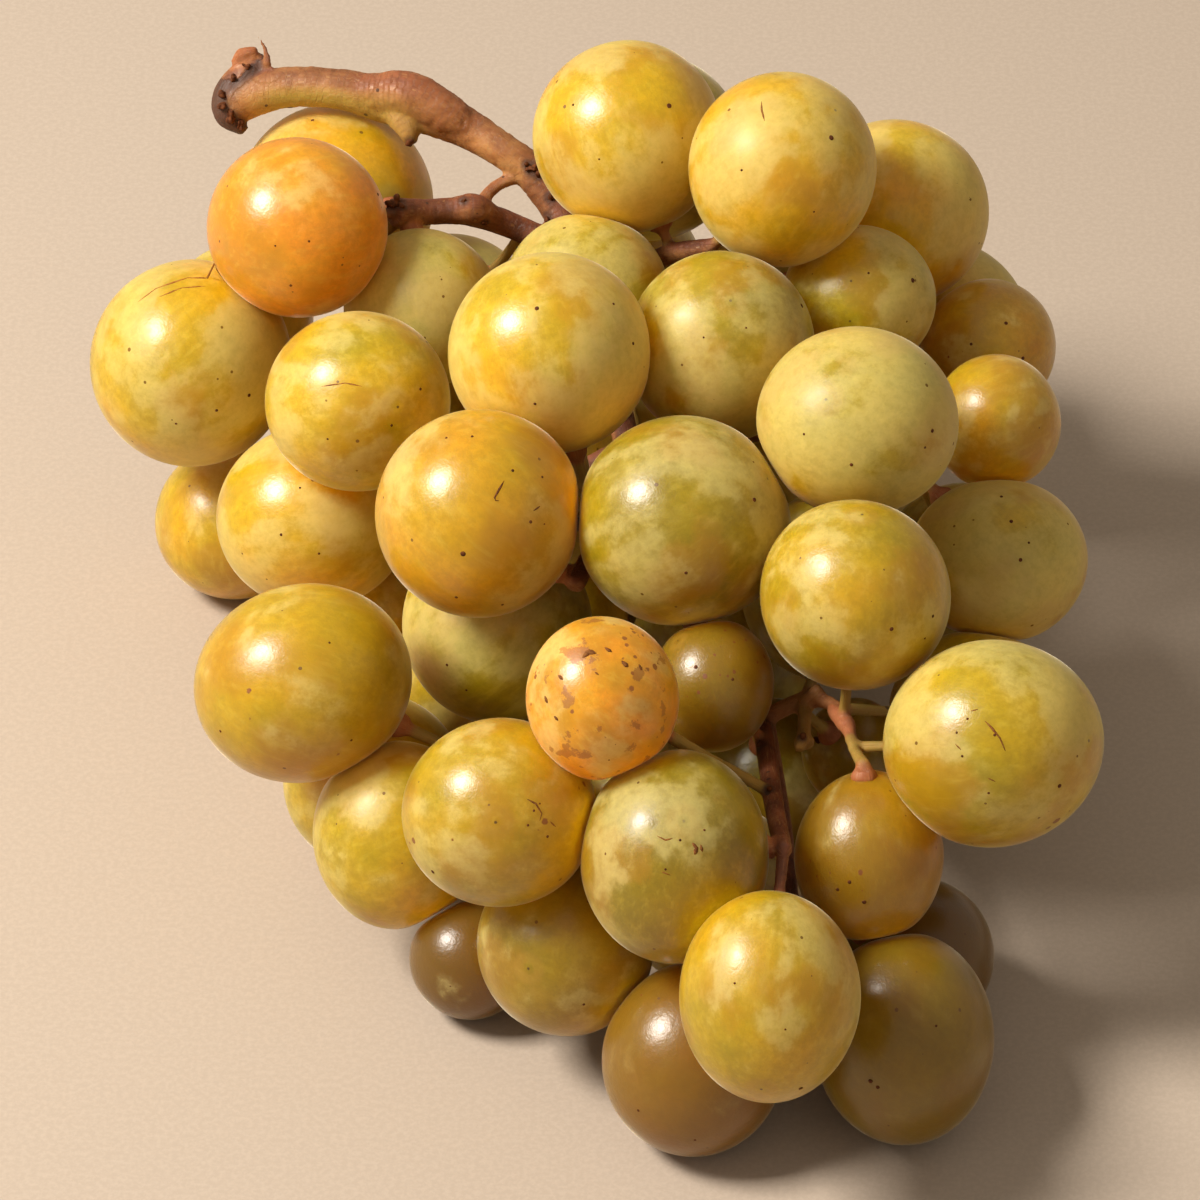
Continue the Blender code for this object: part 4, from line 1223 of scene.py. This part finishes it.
def pedicel_rows(path, berry_centre):
    """A pedicel that swells into its warty receptacle and sinks into the berry."""
    inward = berry_centre - path[-1]
    inward /= np.linalg.norm(inward)
    rows = [(*path[0], PEDICEL_ROOT)]
    rows += [(*point, PEDICEL_BEND) for point in path[1:-1]]
    if len(path) == 2:
        rows.append((*(0.5 * path[0] + 0.5 * path[-1]), PEDICEL_HALFWAY))
    length = np.linalg.norm(path[-1] - np.array(rows[-1][:3]))
    neck = min(NECK_LENGTH, NECK_SHARE * length)
    rows += [(*(path[-1] - inward * share * neck), half) for share, half in NECK_ROWS]
    rows += [(*(path[-1] + inward * depth), half) for depth, half in SUNK_ROWS]
    return np.array(rows)


# Looks along the stem by kind of run: rust, green and collar colour.
RUN_LOOKS = {
    "cane": (0.5, 0.0, 0.0),
    "flap": (0.0, 0.0, 0.8),
    "curl": (0.6, 0.0, 0.1),
    "swelling": (0.45, 0.0, 0.35),
    "spur": (0.15, 0.35, 0.0),
    "peduncle": (0.05, 0.0, 0.0),
    "loop": (0.15, 0.0, 0.2),
    "left": (0.9, 0.0, 0.0),
    "arm_knuckle": (0.7, 0.0, 0.1),
    "tip": (0.85, 0.0, 0.0),
    "twig": (0.0, 0.1, 0.5),
    "twig_side": (0.0, 0.2, 0.3),
    "twig_knuckle": (0.2, 0.0, 0.9),
    "twig_stub": (0.1, 0.5, 0.2),
    "stub": (0.1, 0.5, 0.2),
    "pedicel": (0.35, 0.55, 0.0),
    "collar": (0.2, 0.0, 0.9),
}
PLAIN_LOOK = (0.7, 0.0, 0.0)

# Runs that are green underneath, how far from the cut end that starts and fades, and how
# dark the cut end and the wood round a crumb are.
GREENABLE = ("peduncle", "spur", "swelling")
GREEN_START = 4 * MM
GREEN_FADE = 12 * MM
CUT_DARKNESS = 0.95
CRUMB_STAIN = 0.85

# Berries whose pedicel looks like the tip's stem; how many rows of the runs blend their
# looks at a place; and how much of a pedicel's root keeps the look of the run it rises from.
DARK_PEDICELS = (31,)
BLEND_COUNT = 6
HIDDEN_ROOT = 2.2 * MM

# Crumbs: their proportions, their turns from one to the next, and their raggedness.
CRUMB_SHAPE = (1.0, 0.75, 0.6)
CRUMB_TURNS = (0.9, 1.7, 0.4)
CRUMB_LIFT = 0.15
CRUMB_RAGGED = 0.9
CRUMB_SCALE = 1700.0


def surface_point(berries, own, place):
    """Point on a near berry's surface, and the way out, at a place given as seen."""
    across, up, forward = sight_axes()
    a, u = place
    out = a * across + u * up - math.sqrt(max(1.0 - a * a - u * u, 0.0)) * forward
    reach = 1.0 / math.sqrt(out @ np.linalg.inv(berries.shape[own]) @ out)
    return berries.centre[own] + reach * out, out


def stem_mesh(runs, pedicels, berries, shift):
    """The whole stem as one fine skin over all its tubes."""
    cage = bmesh.new()
    traces = []
    fine = dict(runs)
    for name, rows in TORN_RUNS.items():
        fine[name] = seen_points(rows)
        fine[name][:, :3] += shift
    for name, run in fine.items():
        rows = smooth_run(run)
        tube(cage, rows, RUN_SIDES)
        traces.append((name, rows))
    for own, path in enumerate(pedicels):
        if path is not None:
            rows = pedicel_rows(path, berries.centre[own])
            tube(cage, rows, PEDICEL_TUBE_SIDES)
            free = smooth_run(rows[:-3])
            away = np.linalg.norm(free[:, :3] - free[0, :3], axis=1) > HIDDEN_ROOT
            if away.any():
                traces.append(("tip" if own in DARK_PEDICELS else "pedicel", free[away]))
            traces.append(("collar", smooth_run(rows[-3:])))
    bmesh.ops.recalc_face_normals(cage, faces=cage.faces)
    piece = piece_of_cage("stem_fine", cage)
    mesh = piece.data
    remesh = piece.modifiers.new("skin", "REMESH")
    remesh.mode = "VOXEL"
    remesh.voxel_size = STEM_VOXEL
    remesh.use_smooth_shade = True
    smooth = piece.modifiers.new("soften", "SMOOTH")
    smooth.factor = 0.5
    smooth.iterations = STEM_SMOOTHING
    bpy.context.view_layer.update()
    depsgraph = bpy.context.evaluated_depsgraph_get()
    skin = bpy.data.meshes.new_from_object(piece.evaluated_get(depsgraph))
    piece.modifiers.clear()
    piece.data = skin
    bpy.data.meshes.remove(mesh)
    skin.name = "stem_fine"
    crumbs, places = crumb_mesh(skin, shift)
    dress_stem(skin, traces, places)
    return piece, crumbs


def crumb_mesh(skin, shift):
    """Dark broken crumbs that sit on the stem, as one piece, and their places and sizes."""
    tree = BVHTree.FromPolygons(
        [vert.co for vert in skin.vertices], [face.vertices for face in skin.polygons])
    eye = viewpoint() + shift
    cage = bmesh.new()
    places = []
    for number, (a, u, half) in enumerate(CRUMBS):
        aim = seen_points([(a, u, 0, half)])[0, :3] + shift
        way = Vector(aim - eye).normalized()
        place, normal, _, _ = tree.ray_cast(Vector(eye), way, 2 * SIGHT_DISTANCE)
        if place is None:
            place, normal, _, _ = tree.find_nearest(Vector(aim))
        turn = Euler([angle * number for angle in CRUMB_TURNS]).to_matrix().to_4x4()
        size = Matrix.Diagonal((*[share * half * MM for share in CRUMB_SHAPE], 1.0))
        matrix = Matrix.Translation(place + normal * CRUMB_LIFT * half * MM) @ turn @ size
        ball = bmesh.ops.create_icosphere(cage, subdivisions=3, radius=1.0, matrix=matrix)
        for vert in ball["verts"]:
            out = vert.co - place
            vert.co += out * CRUMB_RAGGED * noise.noise(vert.co * CRUMB_SCALE)
        places.append((*place, half * MM))
    return piece_of_cage("stem_crumbs", cage), places


def dress_stem(mesh, traces, crumbs):
    """Ridges and bark on the stem, and how its colour changes along it."""
    points, normals = np.empty((2, len(mesh.vertices), 3))
    mesh.vertices.foreach_get("co", points.ravel())
    mesh.vertices.foreach_get("normal", normals.ravel())

    rows, ways, lengths, looks, greenable = [], [], [], [], []
    for number, (name, trace) in enumerate(traces):
        way = np.gradient(trace[:, :3], axis=0) if len(trace) > 1 else np.ones((1, 3))
        rows.append(trace)
        ways.append(way / np.linalg.norm(way, axis=1)[:, None])
        steps = np.linalg.norm(np.diff(trace[:, :3], axis=0), axis=1)
        lengths.append(np.concatenate([[0.0], np.cumsum(steps)]) + 0.5 * number)
        looks.append(np.tile(RUN_LOOKS.get(name, PLAIN_LOOK), (len(trace), 1)))
        greenable += [float(name in GREENABLE)] * len(trace)
    rows, ways = np.vstack(rows), np.vstack(ways)
    lengths = np.concatenate(lengths)
    looks = np.column_stack([np.vstack(looks), greenable])
    tree = KDTree(len(rows))
    for index, row in enumerate(rows):
        tree.insert(row[:3], index)
    tree.balance()
    found = [tree.find_n(point, BLEND_COUNT) for point in points]
    near = np.array([[item[1] for item in items] for items in found])
    far = np.array([[item[2] for item in items] for items in found])
    surface = np.maximum(far - 0.8 * rows[near, 3], 0.1 * MM)
    weight = 1.0 / surface**2
    weight /= weight.sum(axis=1)[:, None]
    look = (looks[near] * weight[:, :, None]).sum(axis=1)
    nearest = near[:, 0]

    offset = points - rows[nearest, :3]
    along = (offset * ways[nearest]).sum(axis=1)
    side = offset - along[:, None] * ways[nearest]
    side /= np.linalg.norm(side, axis=1)[:, None] + 1e-9
    travel = (along + lengths[nearest]) * GRAIN_ALONG
    grain = side * GRAIN_ROUND + ways[nearest] * travel[:, None]
    ridges = np.array([noise.noise(Vector(place * RIDGE_SCALE)) for place in grain])
    bark = np.array([
        noise.fractal(Vector(point * BARK_SCALE), 0.6, 2.0, 3) for point in points])
    scale = np.clip(rows[nearest, 3] / (2.4 * MM), 0.5, 1.0)
    rough = BARK_HEIGHT + KNOBBLY_HEIGHT * np.clip(look[:, 2], 0.0, 1.0)
    points += normals * (scale * (ridges * RIDGE_HEIGHT + bark * rough))[:, None]
    mesh.vertices.foreach_set("co", points.ravel())

    rust, green, collar, main_stem = look.T
    rust = rust + 1.1 * np.clip(normals[:, 2] - 0.45, 0.0, 1.0)
    peduncle = next(trace for name, trace in traces if name == "peduncle")
    reach = np.linalg.norm(points - peduncle[0, :3], axis=1)
    below = np.clip(1.25 - normals[:, 2] * 1.7, 0.0, 1.0)
    stretch = np.clip(2.3 - reach / GREEN_FADE, 0, 0.8)
    stretch *= np.clip(reach / GREEN_START - 0.6, 0, 1)
    green = np.maximum(green, stretch * below * main_stem)
    dark = np.zeros(len(points))
    for x, y, z, half in crumbs:
        distance = np.linalg.norm(points - (x, y, z), axis=1)
        dark = np.maximum(dark, CRUMB_STAIN * np.clip(2.2 - distance / half, 0, 1))
    cane = next(trace for name, trace in traces if name == "cane")
    for x, y, z, half in cane:
        distance = np.linalg.norm(points - (x, y, z), axis=1)
        spread = 2.1 * distance / max(half, MM)
        dark = np.maximum(dark, np.clip(3.0 - spread, 0, CUT_DARKNESS))
    flap = np.array([name == "flap" for name, trace in traces for _ in trace])[nearest]
    dark = np.where(flap, 0.0, dark)
    shares = {"green": green, "dark": dark, "rust": rust, "collar": collar}
    shares = {label: np.clip(values, 0, 1) for label, values in shares.items()}
    add_layers(mesh, shares | {"grain": grain})
    mesh.update()


# Stage: size of the ground, the studio's even light, the key light, and the camera's
# view across the middle of the bunch.
FLOOR_SIZE = 3.0
STUDIO_COLOUR = (1.0, 0.90, 0.77)
STUDIO_STRENGTH = 0.36
KEY_DIRECTION = (-0.66, -0.08, 0.75)
KEY_DISTANCE = 0.9
KEY_SIZE = 0.28
KEY_POWER = 12.5
KEY_COLOUR = (1.0, 0.95, 0.87)
VIEW_WIDTH = 146 * MM
SENSOR_WIDTH = 36.0
CLIP_START = 0.01


def add_key_light():
    """One soft square light that shines on the bunch."""
    data = bpy.data.lights.new("key", "AREA")
    data.shape = "SQUARE"
    data.size = KEY_SIZE
    data.energy = KEY_POWER
    data.color = KEY_COLOUR
    light = add_object("key", data)
    out = Vector(KEY_DIRECTION).normalized()
    light.location = Vector((0.0, 0.0, AIM_HEIGHT)) + out * KEY_DISTANCE
    light.rotation_euler = out.to_track_quat("Z", "Y").to_euler()


def build_stage(shift):
    """Pale ground, soft studio light and the camera at the photo's viewing angle."""
    cage = bmesh.new()
    bmesh.ops.create_grid(cage, x_segments=2, y_segments=2, size=FLOOR_SIZE)
    floor = piece_of_cage("floor", cage)
    floor.data.materials.append(floor_material())

    world = bpy.data.worlds[0] if bpy.data.worlds else bpy.data.worlds.new("studio")
    bpy.context.scene.world = world
    world.use_nodes = True
    background = world.node_tree.nodes["Background"]
    background.inputs["Color"].default_value = (*STUDIO_COLOUR, 1.0)
    background.inputs["Strength"].default_value = STUDIO_STRENGTH
    add_key_light()
    view = bpy.context.scene.view_settings
    view.view_transform = "Standard"
    view.look = "None"

    data = bpy.data.cameras.new("camera")
    data.sensor_width = SENSOR_WIDTH
    data.lens = SENSOR_WIDTH * SIGHT_DISTANCE / VIEW_WIDTH
    data.clip_start = CLIP_START
    camera = add_object("camera", data)
    camera.location = viewpoint() + shift
    backward = Vector(-sight_axes()[2])
    camera.rotation_euler = backward.to_track_quat("Z", "Y").to_euler()
    bpy.context.scene.camera = camera


def main():
    """Lays the bunch out and makes its pieces, with their nodes and slots, and the stage."""
    berries, cluster, runs, pedicels, shift = lay_out()
    twig_end = surface_point(berries, TWIG_BERRY, TWIG_PEDICEL_END)[0]
    pedicels[TWIG_BERRY] = [row[:3] + shift for row in seen_points(TWIG_PEDICEL)] + [twig_end]
    skin = skin_material()
    wood = wood_material()
    template = sphere_template()
    gap, direction = pair_gaps(berries.centre, berries.shape)
    rng = np.random.default_rng(SEED)
    looks = rng.uniform(*LOOKS_DRAWN, (len(berries.centre), 3))
    for own, values in LOOKS.items():
        looks[own] = values
    pieces = []
    for number, name in enumerate(CLUSTER_SEEDS):
        members = np.flatnonzero(cluster == number)
        piece = berry_mesh(
            name.replace("berries", "grapes"), members, berries, pedicels, template, gap,
            direction, looks)
        piece.data.materials.append(skin)
        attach(piece, "root")
        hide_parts(name)
        pieces.append(piece)
    marks = mark_mesh(pieces, berries)
    brown = scar_material()
    marks.data.materials.append(brown)
    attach(marks, "root")
    stem, crumbs = stem_mesh(runs, pedicels, berries, shift)
    stem.data.materials.append(wood)
    crumbs.data.materials.append(brown)
    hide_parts("stem")
    for piece in (stem, crumbs):
        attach(piece, "root")
    build_stage(shift)


main()
